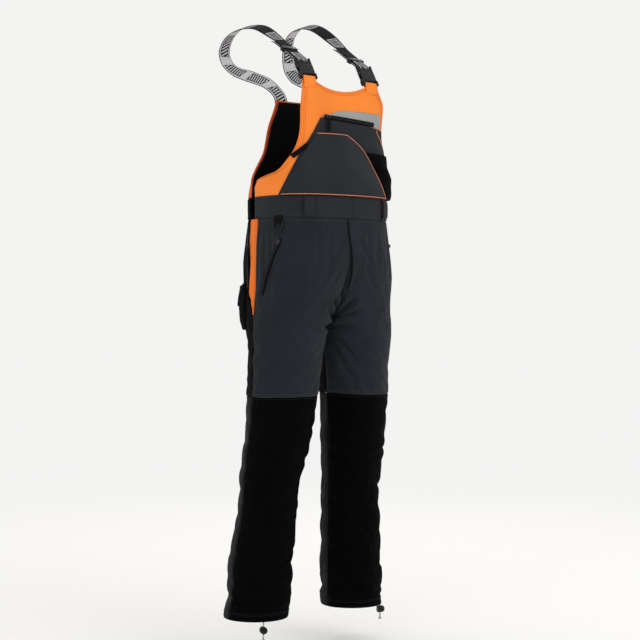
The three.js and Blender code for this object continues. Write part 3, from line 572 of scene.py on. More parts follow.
# woven elastic with a repeating framed patch of slanted stripes; UV is across and along in metres
def webbingMaterial(name, ground, mark, cover, pitch, edgeLine, share):
    mat, tree, bsdf = nodesOf(name)
    link = tree.links.new
    coord = addNode(tree, "ShaderNodeTexCoord")
    split = addNode(tree, "ShaderNodeSeparateXYZ")
    link(coord.outputs["UV"], split.inputs[0])

    def math1(op, a, b=None, c=None):
        node = addNode(tree, "ShaderNodeMath", operation=op)
        for k, x in enumerate((a, b, c)):
            if x is None:
                continue
            if isinstance(x, (int, float)):
                node.inputs[k].default_value = x
            else:
                link(x, node.inputs[k])
        return node.outputs[0]

    across, along = split.outputs[0], split.outputs[1]
    turn = math1("FRACT", math1("DIVIDE", math1("ADD", along, 0.021), pitch))
    middle = math1("ABSOLUTE", math1("SUBTRACT", across, 0.019))
    near = math1("SUBTRACT", turn, (cover[0] + cover[1]) / 2)
    reachOut = math1("MULTIPLY", math1("ABSOLUTE", near), pitch)
    half = (cover[1] - cover[0]) / 2 * pitch
    inPatch = math1("MULTIPLY", math1("LESS_THAN", reachOut, half), math1("LESS_THAN", middle, 0.0135))
    inner = math1("MULTIPLY", math1("LESS_THAN", reachOut, half - 0.0022), math1("LESS_THAN", middle, 0.0113))
    slant = math1("ADD", along, math1("MULTIPLY", across, 0.55))
    bars = math1("LESS_THAN", math1("FRACT", math1("DIVIDE", slant, 0.0092)), share)
    shape = math1("MAXIMUM", math1("SUBTRACT", inPatch, inner), math1("MULTIPLY", bars, inner))
    line = math1("GREATER_THAN", middle, 0.0174)
    mix = addNode(tree, "ShaderNodeMix", data_type="RGBA")
    mix.inputs[6].default_value = (*ground, 1)
    mix.inputs[7].default_value = (*mark, 1)
    link(shape, mix.inputs[0])
    edge = addNode(tree, "ShaderNodeMix", data_type="RGBA")
    edge.inputs[7].default_value = (*edgeLine, 1)
    link(line, edge.inputs[0])
    link(mix.outputs[2], edge.inputs[6])
    rib = addNode(tree, "ShaderNodeTexWave", wave_type="BANDS", bands_direction="X")
    rib.inputs["Scale"].default_value = 300.0
    rib.inputs["Distortion"].default_value = 0.4
    link(coord.outputs["UV"], rib.inputs["Vector"])
    weft = addNode(tree, "ShaderNodeTexWave", wave_type="BANDS", bands_direction="Y")
    weft.inputs["Scale"].default_value = 240.0
    weft.inputs["Distortion"].default_value = 0.6
    link(coord.outputs["UV"], weft.inputs["Vector"])
    both = math1("ADD", rib.outputs["Fac"], weft.outputs["Fac"])
    dull = addNode(tree, "ShaderNodeMapRange")
    dull.inputs["From Max"].default_value = 2.0
    dull.inputs["To Min"].default_value = 0.8
    dull.inputs["To Max"].default_value = 1.1
    link(both, dull.inputs["Value"])
    tint = addNode(tree, "ShaderNodeVectorMath", operation="SCALE")
    link(edge.outputs[2], tint.inputs[0])
    link(dull.outputs[0], tint.inputs["Scale"])
    link(tint.outputs[0], bsdf.inputs["Base Color"])
    bump = addNode(tree, "ShaderNodeBump")
    bump.inputs["Strength"].default_value = 0.5
    bump.inputs["Distance"].default_value = 0.0004
    link(both, bump.inputs["Height"])
    link(bump.outputs[0], bsdf.inputs["Normal"])
    bsdf.inputs["Roughness"].default_value = 0.75
    bsdf.inputs["Sheen Weight"].default_value = 0.02
    bsdf.inputs["Specular IOR Level"].default_value = 0.1
    return mat


webbingFace = webbingMaterial("braceWebbingFace", (0.003, 0.003, 0.0035), (0.56, 0.56, 0.56),
                              (0.14, 0.50), 0.125, (0.003, 0.003, 0.0035), 0.3)
webbingBack = webbingMaterial("braceWebbingBack", (0.60, 0.60, 0.61), (0.004, 0.004, 0.005),
                              (0.08, 0.80), 0.098, (0.005, 0.005, 0.006), 0.55)
print("stage: materials")

# drape of the legs by cloth simulation

drapeSet = {"cols": 96, "rows": 150, "frames": 14, "growth": 0.022, "hold": 0.2, "most": 4.5}


def drapeLeg(side, s):
    cols, rows = s["cols"], s["rows"]
    z = np.linspace(-1052, -54.5, rows + 1)
    u, h = np.meshgrid(np.linspace(0, 1, cols + 1), z)
    inner = innerAngle(h)
    angle = lerp(-inner, inner, u)
    start = leg(side, angle, h)
    grid = np.arange(start[..., 0].size).reshape(rows + 1, cols + 1)
    quads = np.stack([grid[:-1, :-1], grid[:-1, 1:], grid[1:, 1:], grid[1:, :-1]], -1).reshape(-1, 4)
    ob = makeMesh(f"drape{side}", start.reshape(-1, 3), quads.tolist(), [])
    edge = np.minimum(smooth(np.minimum(u, 1 - u), 0, 0.06), smooth(np.minimum(-54.5 - h, h + 1052), 0, 45))
    hold = 1 - (1 - s["hold"]) * edge
    group = ob.vertex_groups.new(name="hold")
    for i, w in enumerate(hold.ravel()):
        group.add([i], float(w), "REPLACE")
    mod = ob.modifiers.new("cloth", "CLOTH")
    c = mod.settings
    c.quality = 6
    c.mass = 0.25
    c.tension_stiffness = c.compression_stiffness = 18
    c.shear_stiffness = 6
    c.bending_stiffness = 1.6
    c.vertex_group_mass = "hold"
    c.pin_stiffness = 0.6
    c.shrink_min = -s["growth"]
    c.effector_weights.gravity = 0.35
    mod.collision_settings.use_collision = False
    scene = bpy.context.scene
    mod.point_cache.frame_end = s["frames"]
    for f in range(1, s["frames"] + 1):
        scene.frame_set(f)
    got = ob.evaluated_get(bpy.context.evaluated_depsgraph_get()).to_mesh()
    end = np.zeros(len(got.vertices) * 3)
    got.vertices.foreach_get("co", end)
    move = end.reshape(rows + 1, cols + 1, 3) * 1000 - start
    size = np.linalg.norm(move, axis=-1, keepdims=True)
    move *= np.minimum(1, s["most"] / np.maximum(size, 1e-6))
    scene.frame_set(1)
    bpy.data.objects.remove(ob)
    print(f"drape {side}: mean {size.mean():.2f} mm, most {size.max():.2f} mm")
    return {"d": move, "z0": z[0], "z1": z[-1]}


legSim = {side: drapeLeg(side, drapeSet) for side in (-1, 1)}
print("stage: drape")

# legs

sideSeam, stripeRear, zipRear, stripeEnd = 4.0, 16.0, 21.0, -290.0
kneeSeam, hemLine = -492.0, -1052.0
bodyOf = "trousers"


def stripeBack(z):
    return lerp(sideSeam + 2, stripeRear, smooth((z - stripeEnd) / 60))


def seatFront(z):
    return np.where(z < stripeEnd, sideSeam + 0.15,
                    lerp(sideSeam + 2.6, zipRear, smooth((z - stripeEnd) / 60)))


# a sewn piece stands for its CAD node and rides with it
def keep(ob, node, body=bodyOf, held="stretched"):
    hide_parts(node)
    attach(ob, body)
    if held and ob.name in flatOf:
        wide, long, area = flatOf[ob.name]
        min(max(area, 0.31 * wide * long), wide * long)
    return ob


for side, word in ((-1, "right"), (1, "left")):
    def thighFront(u, v, off, side=side):
        zz = lerp(kneeSeam + 0.3, -54.6, v)
        angle = lerp(-innerAngle(zz), sideSeam - 0.15, u)
        return leg(side, angle, zz, off)

    def thighBack(u, v, off, side=side):
        zz = lerp(kneeSeam + 0.3, -54.6, v)
        return leg(side, lerp(seatFront(zz), innerAngle(zz), u), zz, off)

    def shinFront(u, v, off, side=side):
        zz = lerp(hemLine, kneeSeam - 0.3, v)
        return leg(side, lerp(-innerAngle(zz), sideSeam - 0.15, u), zz, off)

    def calfBack(u, v, off, side=side):
        zz = lerp(hemLine, kneeSeam - 0.3, v)
        return leg(side, lerp(sideSeam + 0.15, innerAngle(zz), u), zz, off)

    def stripe(u, v, off, side=side):
        zz = lerp(stripeEnd + 1, -54.6, v)
        return leg(side, lerp(sideSeam + 0.15, stripeBack(zz), u), zz, off)

    keep(clothPanel(f"frontThigh_{word}", 84, 130, thighFront, (charcoalThigh, liningCloth)),
         f"front_thigh_{word}")
    keep(clothPanel(f"seatThigh_{word}", 84, 130, thighBack, (seatCloth, liningCloth)), f"back_thigh_{word}")
    keep(clothPanel(f"shin_{word}", 72, 150, shinFront, (blackCloth, liningCloth)), f"shin_{word}")
    keep(clothPanel(f"calf_{word}", 72, 150, calfBack, (stretchGrey, liningCloth)), f"calf_{word}")
    keep(clothPanel(f"sideStripe_{word}", 10, 60, stripe, (orangeShadedSide, liningCloth)), f"side_stripe_{word}")

    def pad(u, v, off, side=side):
        zz = lerp(hemLine + 60, -120, v)
        start = -np.minimum(innerAngle(zz) - 30, 120)
        return leg(side, lerp(start, 0, u), zz, off - 4.0)

    padPiece = clothPanel(f"cutPad_{word}", 30, 80, pad, (padFibre, padFibre), thick=4.0)
    keep(padPiece, f"cut_protection_pad_{word}", held=None)

print("stage: legs")

# waistband


for side, word in ((-1, "right"), (1, "left")):
    def band(u, v, off, side=side):
        return torso(side * lerp(-0.6 if side < 0 else 0.7, 98, u), lerp(-54.8, 0.7, v), off + 0.5)

    keep(clothPanel(f"waistbandFront_{word}", 70, 14, band, (charcoalCloth, liningCloth), thick=3.2,
                    crown=0.4), f"waistband_{word}")


def bandBack(u, v, off):
    return torso(lerp(105, 255, u), lerp(-54.8, 0.7, v), off + 0.5)


keep(clothPanel("waistbandBack", 90, 14, bandBack, (blackCloth, liningCloth), thick=3.2, crown=0.4),
     "waistband_back")

# bib

armholeRows = [(0, 98.5), (30, 98.2), (42, 95), (50, 84), (58, 73), (84, 64.5), (112, 58.5), (145, 54.8),
               (180, 53.2), (217, 53), (277, 52), (310, 52)]
backEdgeRows = [(0, 105), (34, 105), (50, 110), (70, 118), (110, 124), (150, 123.5), (190, 121.5),
                (252, 118.4)]
chestLeftRows = [(0, -170), (6, -169), (48, -154), (105, -126), (155, -94), (200, -66)]
pouchRightRows = [(0, 121), (8, 119), (63, 92), (110, 64), (135, 40), (155, 8)]
bibTop, bibDip, backTop = 284.0, 266.0, 252.0


def armhole(z):
    return station(armholeRows, z)[0]


# the bib stands wider on the wearer's left, where its cloth bows out
def armholeLeft(z):
    return armhole(z) + 6.5 * smooth(z, 50, 120) * (1 - smooth(z, 235, 284))


def chestLeft(z):
    return station(chestLeftRows, z)[0]


def chestRight(z):
    return np.minimum(armholeLeft(z) - 1.2, 78)


def pouchRight(z):
    return station(pouchRightRows, z)[0]


def zipHeight(x):
    return lerp(197, 188.5, (x + 60) / 160)


def bibFront(u, v, off):
    flat = lerp(0.5, bibTop, v)
    angle = lerp(-armhole(flat), armholeLeft(flat), u)
    x = torsoAt(angle, flat)[..., 0]
    top = lerp(bibDip, bibTop, np.minimum(np.abs(x) / 78, 1) ** 2.2)
    return torso(angle, np.maximum(0.5, flat * top / bibTop), off)


keep(clothPanel("bibYoke", 150, 100, bibFront, (orangeCloth, liningCloth)), "bib_front")


def bibBack(u, v, off):
    zz = lerp(0.5, backTop, v)
    edge = station(backEdgeRows, zz)[0]
    return torso(lerp(edge, 360 - edge, u), zz, off)


def backLining(u, v, off):
    zz = lerp(0.5, backTop - 3, v)
    edge = station(backEdgeRows, zz)[0]
    return torso(lerp(edge, 360 - edge, lerp(0.012, 0.988, u)), zz, off - 3.0)


keep(clothPanel("bibBackPanel", 110, 70, bibBack, (orangeEdge, orangeEdge)), "bib_back")
keep(clothPanel("bibBackLining", 110, 60, backLining, (blackCloth, liningCloth), thick=2.0),
     "bib_back_lining")


def reflectiveBand(u, v, off):
    x = lerp(-66, 132, u)
    low = zipHeight(x) + 2 - 9 * smooth((x - 60) / 60)
    high = zipHeight(-66) + 3.5 + 17 * smooth((x + 66) / 76)
    zz = lerp(low, high, v)
    return torso(angleAt(x, zz), zz, off + 1.9)


keep(clothPanel("reflectiveBand", 80, 12, reflectiveBand, (reflectiveTape, reflectiveTape), thick=0.9,
                edge=(2, 0.4)), "reflective_band")


def chestPanel(u, v, off):
    x = lerp(-60, 121, u)
    top = zipHeight(x) - 1.5 - 9 * smooth((x - 60) / 60)
    zz = lerp(0.6, top, v)
    angle = lerp(angleAt(chestLeft(zz), zz), chestRight(zz), u)
    rise = 3.8 * smooth((u - 0.8) / 0.12) * (1 - smooth((zz - 115) / 35))
    return torso(angle, zz, off + 3.3 + rise)


keep(clothPanel("chestPanel", 90, 70, chestPanel, (charcoalCloth, blackCloth), thick=1.4, edge=(3, 0.6)),
     "chest_panel")


def pouchOff(u, v):
    across = np.sin(math.pi * np.clip(u, 0, 1)) ** 0.7
    rise = smooth(v / 0.22) * lerp(1, 0.4, smooth((v - 0.35) / 0.65))
    return 6 + 16 * across * rise


def pouch(u, v, off):
    zz = lerp(1.4, 155, v)
    angle = lerp(angleAt(chestLeft(zz), zz) + 3, angleAt(pouchRight(zz), zz), u)
    folds = 1.1 * ripple(43, u * 250, v * 160, 70, 2.0) * np.sin(math.pi * u)
    return torso(angle, zz, off + pouchOff(u, v) + 2.4 + folds)


keep(clothPanel("chestPouch", 110, 80, pouch, (charcoalCloth, blackCloth)), "pouch")


def gusset(u, v, off):
    zz = lerp(1.4, 114, v)
    angle = lerp(angleAt(pouchRight(zz), zz) + 0.8, chestRight(zz) + 0.5, u)
    return torso(angle, zz, off + 11.8 + 8 * np.sin(math.pi * u) * np.sin(math.pi * v))


keep(clothPanel("pouchGusset", 40, 60, gusset, (blackCloth, liningCloth)), "pouch_gusset")


def slantTape(u, v, off):
    zz = lerp(95, 126, v) + lerp(-4.5, 4.5, u)
    x = lerp(-144, -107, v) + lerp(3.5, -3.5, u)
    return torso(angleAt(x, zz), zz, off + lerp(1.8, 5.0, smooth((v - 0.02) / 0.25)))


keep(clothPanel("slantTape", 8, 24, slantTape, (blackTape, blackTape), thick=1.1, edge=(1.5, 0.3)),
     "diagonal_tape")
print("stage: bib")

# braces


# webbing along points (n, 3); side is the width direction at each point
def ribbon(name, points, side, width, thick, mats, cols=6, shift=0.0):
    p = np.asarray(points, float)
    side = np.broadcast_to(np.asarray(side, float), p.shape)
    along = unit(np.gradient(p, axis=0))
    across = unit(np.cross(side, along))
    run = np.concatenate([[0], np.cumsum(np.linalg.norm(np.diff(p, axis=0), axis=1))])
    us = np.linspace(-0.5, 0.5, cols + 1)
    bulge = thick / 2 * (1 - np.abs(us * 2) ** 6 * 0.45)
    top = p[:, None] + side[:, None] * us[None, :, None] * width + across[:, None] * bulge[None, :, None]
    low = p[:, None] + side[:, None] * us[None, :, None] * width - across[:, None] * bulge[None, :, None]
    n = top.shape[0] * top.shape[1]
    grid = np.arange(n).reshape(top.shape[:2])
    quads = np.stack([grid[:-1, :-1], grid[:-1, 1:], grid[1:, 1:], grid[1:, :-1]], -1).reshape(-1, 4)
    rim = np.concatenate([grid[0, :], grid[1:, -1], grid[-1, ::-1][1:], grid[::-1, 0][1:]])
    strip = np.stack([rim[:-1], rim[1:], rim[1:] + n, rim[:-1] + n], -1)
    facing = np.dot(np.cross(side[0], along[0]), across[0]) > 0
    front = quads if facing else quads[:, ::-1]
    strip = strip[:, ::-1] if facing else strip
    uv = np.stack(np.broadcast_arrays((us[None, :] + 0.5) * width, run[:, None] + shift), -1).reshape(-1, 2)
    return makeMesh(name, np.concatenate([top.reshape(-1, 3), low.reshape(-1, 3)]),
                    np.concatenate([front, front[:, ::-1] + n, strip]).tolist(), mats,
                    np.concatenate([uv, uv]),
                    [0] * len(quads) + [1] * len(quads) + [0] * len(strip))


# a smooth line through points, evenly spaced
def curve(points, count):
    p = np.asarray(points, float)
    q = np.concatenate([[2 * p[0] - p[1]], p, [2 * p[-1] - p[-2]]])
    out = []
    for i in range(1, len(q) - 2):
        f = np.linspace(0, 1, 24, endpoint=False)[:, None]
        a, b, c, d = q[i - 1], q[i], q[i + 1], q[i + 2]
        cubic = 3 * b - a - 3 * c + d
        out.append(0.5 * (2 * b + (c - a) * f + (2 * a - 5 * b + 4 * c - d) * f**2 + cubic * f**3))
    line = np.concatenate(out + [p[-1:]])
    run = np.concatenate([[0], np.cumsum(np.linalg.norm(np.diff(line, axis=0), axis=1))])
    at = np.linspace(0, run[-1], count)
    return np.stack([np.interp(at, run, line[:, k]) for k in range(3)], -1)


braceSet = {"width": 38.0, "thick": 2.0, "layer": 2.8, "barAt": 56.0, "centre": 99.0,
            "foot": 289.0, "apex": 454.0,
            "leanAt": (0, 0.12, 0.3, 0.46, 0.56, 0.68, 0.8, 0.9, 1.0),
            "lean": (0, 18, 24, 16, -8, -42, -38, -14, 0)}
lean = math.radians(30)
buckleUp = np.array([0, math.sin(lean), math.cos(lean)])
buckleOut = np.array([0, -math.cos(lean), math.sin(lean)])
strapRun = np.array([0, 0.841, 0.541])
strapOut = np.array([0, -0.541, 0.841])


def braceLine(side, s):
    x = side * s["centre"]
    foot = np.array([x, -92, s["foot"]])
    bar = foot + buckleUp * s["barAt"]

    def straight(run, off):
        return bar + strapRun * run + strapOut * off

    layer = s["layer"]
    tail = [straight(r, -layer - max(0, r - 106) * 0.214) for r in np.linspace(120, 3, 24)]
    turn = [bar - strapOut * math.cos(math.radians(a)) * layer - strapRun * math.sin(math.radians(a)) * layer
            for a in range(0, 181, 15)]
    up = [straight(r, layer) for r in np.linspace(3, 100, 20)]
    top = s["apex"]
    spots = np.array([straight(100, layer), (x * 0.99, 101, top - 14), (x * 0.97, 161, top),
                      (x * 0.95, 221, top),
                      (x * 0.92, 269, 436), (x * 0.9, 290, 405), (x * 0.87, 276, 372), (x * 0.84, 239, 349),
                      (x * 0.81, 191, 332), (x * 0.77, 120, 306), (x * 0.74, 79, 279), (x * 0.73, 61, 258),
                      (x * 0.73, 57.6, 236)])
    if side > 0:  # the far brace stands up a little straighter
        spots[:, 1] -= np.array([0, 2, 8, 18, 32, 44, 44, 36, 24, 8, 0, 0, 0])
        spots[:, 2] += np.array([0, 10, 20, 22, 20, 10, 0, -4, -4, 0, 0, 0, 0])
    rest = curve(spots, 170)
    line = np.array(tail + turn + up + list(rest[1:]))
    # the webbing leans over where nothing holds it flat
    walk = np.concatenate([[0], np.cumsum(np.linalg.norm(np.diff(rest, axis=0), axis=1))])
    lean = np.interp(walk / walk[-1], s["leanAt"], s["lean"])
    tilt = np.concatenate([np.zeros(len(line) - len(rest) + 1), lean[1:]])
    kernel = np.hanning(21) / np.hanning(21).sum()
    tilt = np.convolve(np.pad(tilt, 10, mode="edge"), kernel, mode="valid")
    t = np.radians(tilt)[:, None]
    along = unit(np.gradient(line, axis=0))
    out = unit(np.cross(np.array([1.0, 0, 0]), along))
    widthWay = np.cos(t) * np.array([1.0, 0, 0]) + np.sin(t) * out
    return line, widthWay, bar


for side, word in ((-1, "right"), (1, "left")):
    line, widthWay, bar = braceLine(side, braceSet)
    strap = ribbon(f"brace_{word}", line, widthWay, braceSet["width"], braceSet["thick"],
                   (webbingFace, webbingBack))
    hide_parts(f"strap_{word}")
    end = line[-1] / 1000
    start = line[-60] / 1000
    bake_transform(strap, "trousers", f"brace_{word}", start=tuple(end), end=tuple(start))
    x = side * braceSet["centre"]
    socketBar = np.array([x, -92, braceSet["foot"]]) + buckleUp * 4.5
    inFront = float(torsoAt(angleAt(x, bibTop - 14), bibTop - 14)[1])
    loop = [(x, inFront - 1.0, bibTop - 17), (x, inFront - 2.2, bibTop - 12), (x, inFront - 2.7, bibTop - 4)]
    loop += [tuple(socketBar + buckleOut * math.cos(math.radians(a)) * 3.9
                   + buckleUp * math.sin(math.radians(a)) * 3.9)
             for a in range(0, 181, 20)]
    loop += [(x, inFront + 5.6, bibTop - 3), (x, inFront + 5.6, bibTop - 24)]
    tab = ribbon(f"strapTab_{word}", curve(loop, 70), (1, 0, 0), 38, 1.5, (orangeCloth, orangeCloth))
    keep(tab, f"strap_tab_{word}")
print("stage: braces")

# hardware taken from the CAD shapes, with softened edges


def softened(node, mat, body, width=0.0005, segments=2, name=None):
    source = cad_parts[node]
    mesh = source.data.copy()
    ob = bpy.data.objects.new(name or node + "_fine", mesh)
    bpy.context.collection.objects.link(ob)
    bm = bmesh.new()
    bm.from_mesh(mesh)
    bmesh.ops.remove_doubles(bm, verts=bm.verts, dist=1e-6)
    bmesh.ops.dissolve_limit(bm, angle_limit=math.radians(2), verts=bm.verts, edges=bm.edges)
    bm.to_mesh(mesh)
    bm.free()
    mesh.materials.clear()
    mesh.materials.append(mat)
    mod = ob.modifiers.new("soften", "BEVEL")
    mod.width = width
    mod.segments = segments
    mod.limit_method = "ANGLE"
    mod.angle_limit = math.radians(28)
    mod.use_clamp_overlap = True
    got = bpy.data.meshes.new_from_object(ob.evaluated_get(bpy.context.evaluated_depsgraph_get()))
    ob.modifiers.clear()
    ob.data = got
    for poly in got.polygons:
        poly.use_smooth = True
    got.set_sharp_from_angle(angle=math.radians(40))
    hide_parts(node)
    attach(ob, body)
    return ob


for word in ("right", "left"):
    softened(f"buckle_socket_{word}", blackPlastic, "trousers", 0.0012, 3)
    softened(f"buckle_plug_{word}", blackPlastic, f"brace_{word}", 0.0008, 3)
    softened(f"strap_adjuster_{word}", blackPlastic, f"adjuster_{word}", 0.0007, 3)
    softened(f"toggle_body_{word}", blackPlastic, f"toggle_{word}", 0.0009, 3)
    softened(f"toggle_button_{word}", blackPlastic, f"button_{word}", 0.0006, 3)
    softened(f"hip_zip_slider_{word}", darkMetal, f"hip_slider_{word}", 0.0003, 2)
    softened(f"side_zip_slider_{word}", darkMetal, f"side_slider_{word}", 0.0003, 2)
    softened(f"side_zip_pull_{word}", solidTape, f"side_pull_{word}", 0.0003, 2)
    softened(f"hip_zip_tape_{word}", solidTape, "trousers", 0.0002, 1)
    softened(f"side_zip_tape_{word}", solidTape, "trousers", 0.0002, 1)
softened("chest_zip_slider", darkMetal, "chest_slider", 0.0003, 2)
softened("chest_zip_pull", solidTape, "chest_pull", 0.0003, 2)
softened("chest_zip_tape", solidTape, "trousers", 0.0002, 1)
softened("d_ring", ringPlastic, "ring", 0.0009, 3)
softened("d_ring_tab", solidTape, "trousers", 0.0003, 2)
ringTab = bpy.data.objects["d_ring_tab_fine"]
for vertex in ringTab.data.vertices:
    if vertex.co.z > -0.050:
        vertex.co.z = -0.050 + 0.1 * (vertex.co.z + 0.050)
print("stage: hardware")

# fly, pockets and belt loops


def middleY(x, z):
    cx, a, cy, b, n = station(legRows, z)
    return cy - b * (1 - (np.abs(np.abs(x) - cx) / a) ** n) ** (1 / n)


def fly(u, v, off):
    zz = lerp(-232, -56, v)
    x = lerp(lerp(9, -10, smooth(v)), lerp(15, 24, smooth(v * 2)), u)
    side = np.where(x < 0, -1, 1)
    cx = station(legRows, zz)[0]
    y = np.minimum(middleY(x, zz), middleY(np.minimum(24, cx), zz))
    return np.stack([x, y - 2.6 - off + 1.2 * np.sin(zz / 19.0) * (u - 0.3), zz], -1)


keep(clothPanel("flyFlap", 14, 60, fly, (charcoalThigh, blackCloth)), "fly_flap")
flyV = np.linspace(0.98, 0.1, 90)
flyEdge = fly(np.full(90, -0.03), flyV, np.full(90, -0.4))

cargoSet = {"start": 26, "end": 62, "low": -326, "top": -222, "bulge": 12, "drop": 56}


def cargoOff(u, v):
    s = cargoSet
    return 0.6 + s["bulge"] * np.sin(math.pi * u) ** 0.6 * np.sin(math.pi * (0.12 + v * 0.8)) ** 0.7


def cargo(u, v, off):
    s = cargoSet
    sag = 1.2 * ripple(61, u * 90, v * 104, 46, 1.4) * np.sin(math.pi * u) * np.sin(math.pi * v)
    return leg(-1, lerp(s["start"], s["end"], u), lerp(s["low"], s["top"], v),
               off + cargoOff(u, v) + 2.0 + sag)


def cargoLid(u, v, off):
    s = cargoSet
    zz = lerp(s["top"] + 12 - s["drop"], s["top"] + 12, v)
    base = np.maximum(0, cargoOff(u, np.minimum(1, (zz - s["low"]) / (s["top"] - s["low"]))))
    lift = lerp(base + 5.2, 3.3, smooth(v, 0.86, 0.97))
    return leg(-1, lerp(s["start"] - 1, s["end"] + 1, u), zz, off + lift)


keep(clothPanel("cargoPocket", 44, 50, cargo, (seatCloth, liningCloth), thick=2.0), "cargo_pocket")
keep(clothPanel("cargoFlap", 44, 30, cargoLid, (seatCloth, liningCloth), thick=2.0), "cargo_flap",
     "pocket_flap")

loopRise = [(-1.5, 1.3), (-5, 4), (-9, 7.6), (-20, 8.6), (-36, 8.6), (-46, 7.6), (-50, 4), (-53.5, 1.3)]
for side, word in ((-1, "right"), (1, "left")):
    turn = side * 45.5
    out = torsoNormal(turn, -27.0)
    foot = torsoAt(turn, -27.0)
    rise = [np.array([foot[0] + out[0] * o, foot[1] + out[1] * o, zz]) for zz, o in loopRise]
    across = unit(np.cross((0, 0, 1), out))
    keep(ribbon(f"beltLoop_{word}", curve(rise, 40), across, 25, 2.2, (charcoalCloth, charcoalCloth),
                cols=8), f"belt_loop_{word}")
print("stage: fly, pockets and loops")

# hem cords: a short elastic out of each hem, knotted below its toggle

hemCordSet = {"angle": {"right": -68, "left": -22}, "length": 0.0462, "radius": 1.8}


# a round tube along points; radius may vary along it
def tube(name, points, radius, mat, sides=12):
    p = np.asarray(points, float)
    along = unit(np.gradient(p, axis=0))
    ref = np.array([0, 0, 1.0]) if abs(along[0][2]) < 0.8 else np.array([1.0, 0, 0])
    a = unit(np.cross(along, ref))
    b = np.cross(along, a)
    t = np.linspace(0, 2 * math.pi, sides, endpoint=False)
    rad = np.broadcast_to(np.asarray(radius, float), len(p))[:, None, None]
    ring = p[:, None] + rad * (np.cos(t)[None, :, None] * a[:, None] + np.sin(t)[None, :, None] * b[:, None])
    verts = np.concatenate([ring.reshape(-1, 3), p[:1], p[-1:]])
    n, faces = len(p), []
    for i in range(n - 1):
        for k in range(sides):
            m = (k + 1) % sides
            faces.append((i * sides + k, i * sides + m, (i + 1) * sides + m, (i + 1) * sides + k))
    for k in range(sides):
        m = (k + 1) % sides
        faces.append((n * sides, m, k))
        faces.append((n * sides + 1, (n - 1) * sides + k, (n - 1) * sides + m))
    return makeMesh(name, verts, faces, [mat])


for side, word in ((-1, "right"), (1, "left")):
    s = hemCordSet
    top = legAt(side, s["angle"][word], hemLine) - legNormal(side, s["angle"][word], hemLine) * 1.25
    drop = np.linspace(-0.4, -s["length"] * 1000, 40)
    line = top + np.stack([np.zeros(40), np.zeros(40), drop], -1)
    wall = s["radius"] * (1 + 0.05 * np.sin(drop * 3.1))
    cord = tube(f"hemCord_{word}", line, wall, cordGrey)
    turnKnot = np.linspace(0, 2 * math.pi * 1.6, 60)
    lump = 1.9 + 0.5 * np.sin(turnKnot * 1.5)
    knotLine = top + np.stack([lump * np.cos(turnKnot), lump * np.sin(turnKnot),
                               -43.6 + 2.6 * np.sin(turnKnot * 0.6)], -1)
    knot = tube(f"hemKnot_{word}", knotLine, 1.5, cordGrey, 10)
    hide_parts(f"hem_cord_{word}")
    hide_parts(f"hem_cord_{word}")
    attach(cord, "trousers")
    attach(knot, "trousers")
    [tuple(q) for q in line / 1000]
print("stage: hem cords")

# rows of stitches and zip teeth


# repeats a small part along the edges of a mesh: a round stitch, or a block for a zip tooth
def rowTree(name, mat, sizes, block=False):
    tree = bpy.data.node_groups.new(name, "GeometryNodeTree")
    tree.is_modifier = True
    socket = tree.interface.new_socket
    socket(name="Geometry", in_out="INPUT", socket_type="NodeSocketGeometry")
    for key, value in sizes.items():
        socket(name=key, in_out="INPUT", socket_type="NodeSocketFloat").default_value = value
    socket(name="Geometry", in_out="OUTPUT", socket_type="NodeSocketGeometry")
    new, link = tree.nodes.new, tree.links.new
    start, end = new("NodeGroupInput"), new("NodeGroupOutput")
    line = new("GeometryNodeMeshToCurve")
    even = new("GeometryNodeResampleCurve")
    even.mode = "LENGTH"
    link(start.outputs["Geometry"], line.inputs[0])
    link(line.outputs[0], even.inputs["Curve"])
    link(start.outputs["Pitch"], even.inputs["Length"])
    if block:
        part = new("GeometryNodeMeshCube")
        size = new("ShaderNodeCombineXYZ")
        link(start.outputs["Width"], size.inputs[0])
        link(start.outputs["Height"], size.inputs[1])
        link(start.outputs["Length"], size.inputs[2])
        link(size.outputs[0], part.inputs["Size"])
    else:
        part = new("GeometryNodeMeshCylinder")
        part.inputs["Vertices"].default_value = 6
        link(start.outputs["Width"], part.inputs["Radius"])
        link(start.outputs["Length"], part.inputs["Depth"])
    way = new("GeometryNodeInputTangent")
    side = new("GeometryNodeInputNamedAttribute")
    side.data_type = "FLOAT_VECTOR"
    side.inputs["Name"].default_value = "side"
    aim = new("FunctionNodeAlignRotationToVector")
    aim.axis = "Z"
    link(way.outputs[0], aim.inputs["Vector"])
    roll = new("FunctionNodeAlignRotationToVector")
    roll.axis = "X"
    roll.pivot_axis = "Z"
    link(aim.outputs[0], roll.inputs["Rotation"])
    link(side.outputs[0], roll.inputs["Vector"])
    place = new("GeometryNodeInstanceOnPoints")
    link(even.outputs[0], place.inputs["Points"])
    link(part.outputs["Mesh"], place.inputs["Instance"])
    link(roll.outputs[0], place.inputs["Rotation"])
    whole = new("GeometryNodeRealizeInstances")
    paint = new("GeometryNodeSetMaterial")
    paint.inputs["Material"].default_value = mat
    link(place.outputs[0], whole.inputs[0])
    link(whole.outputs[0], paint.inputs["Geometry"])
    link(paint.outputs[0], end.inputs[0])
    return tree


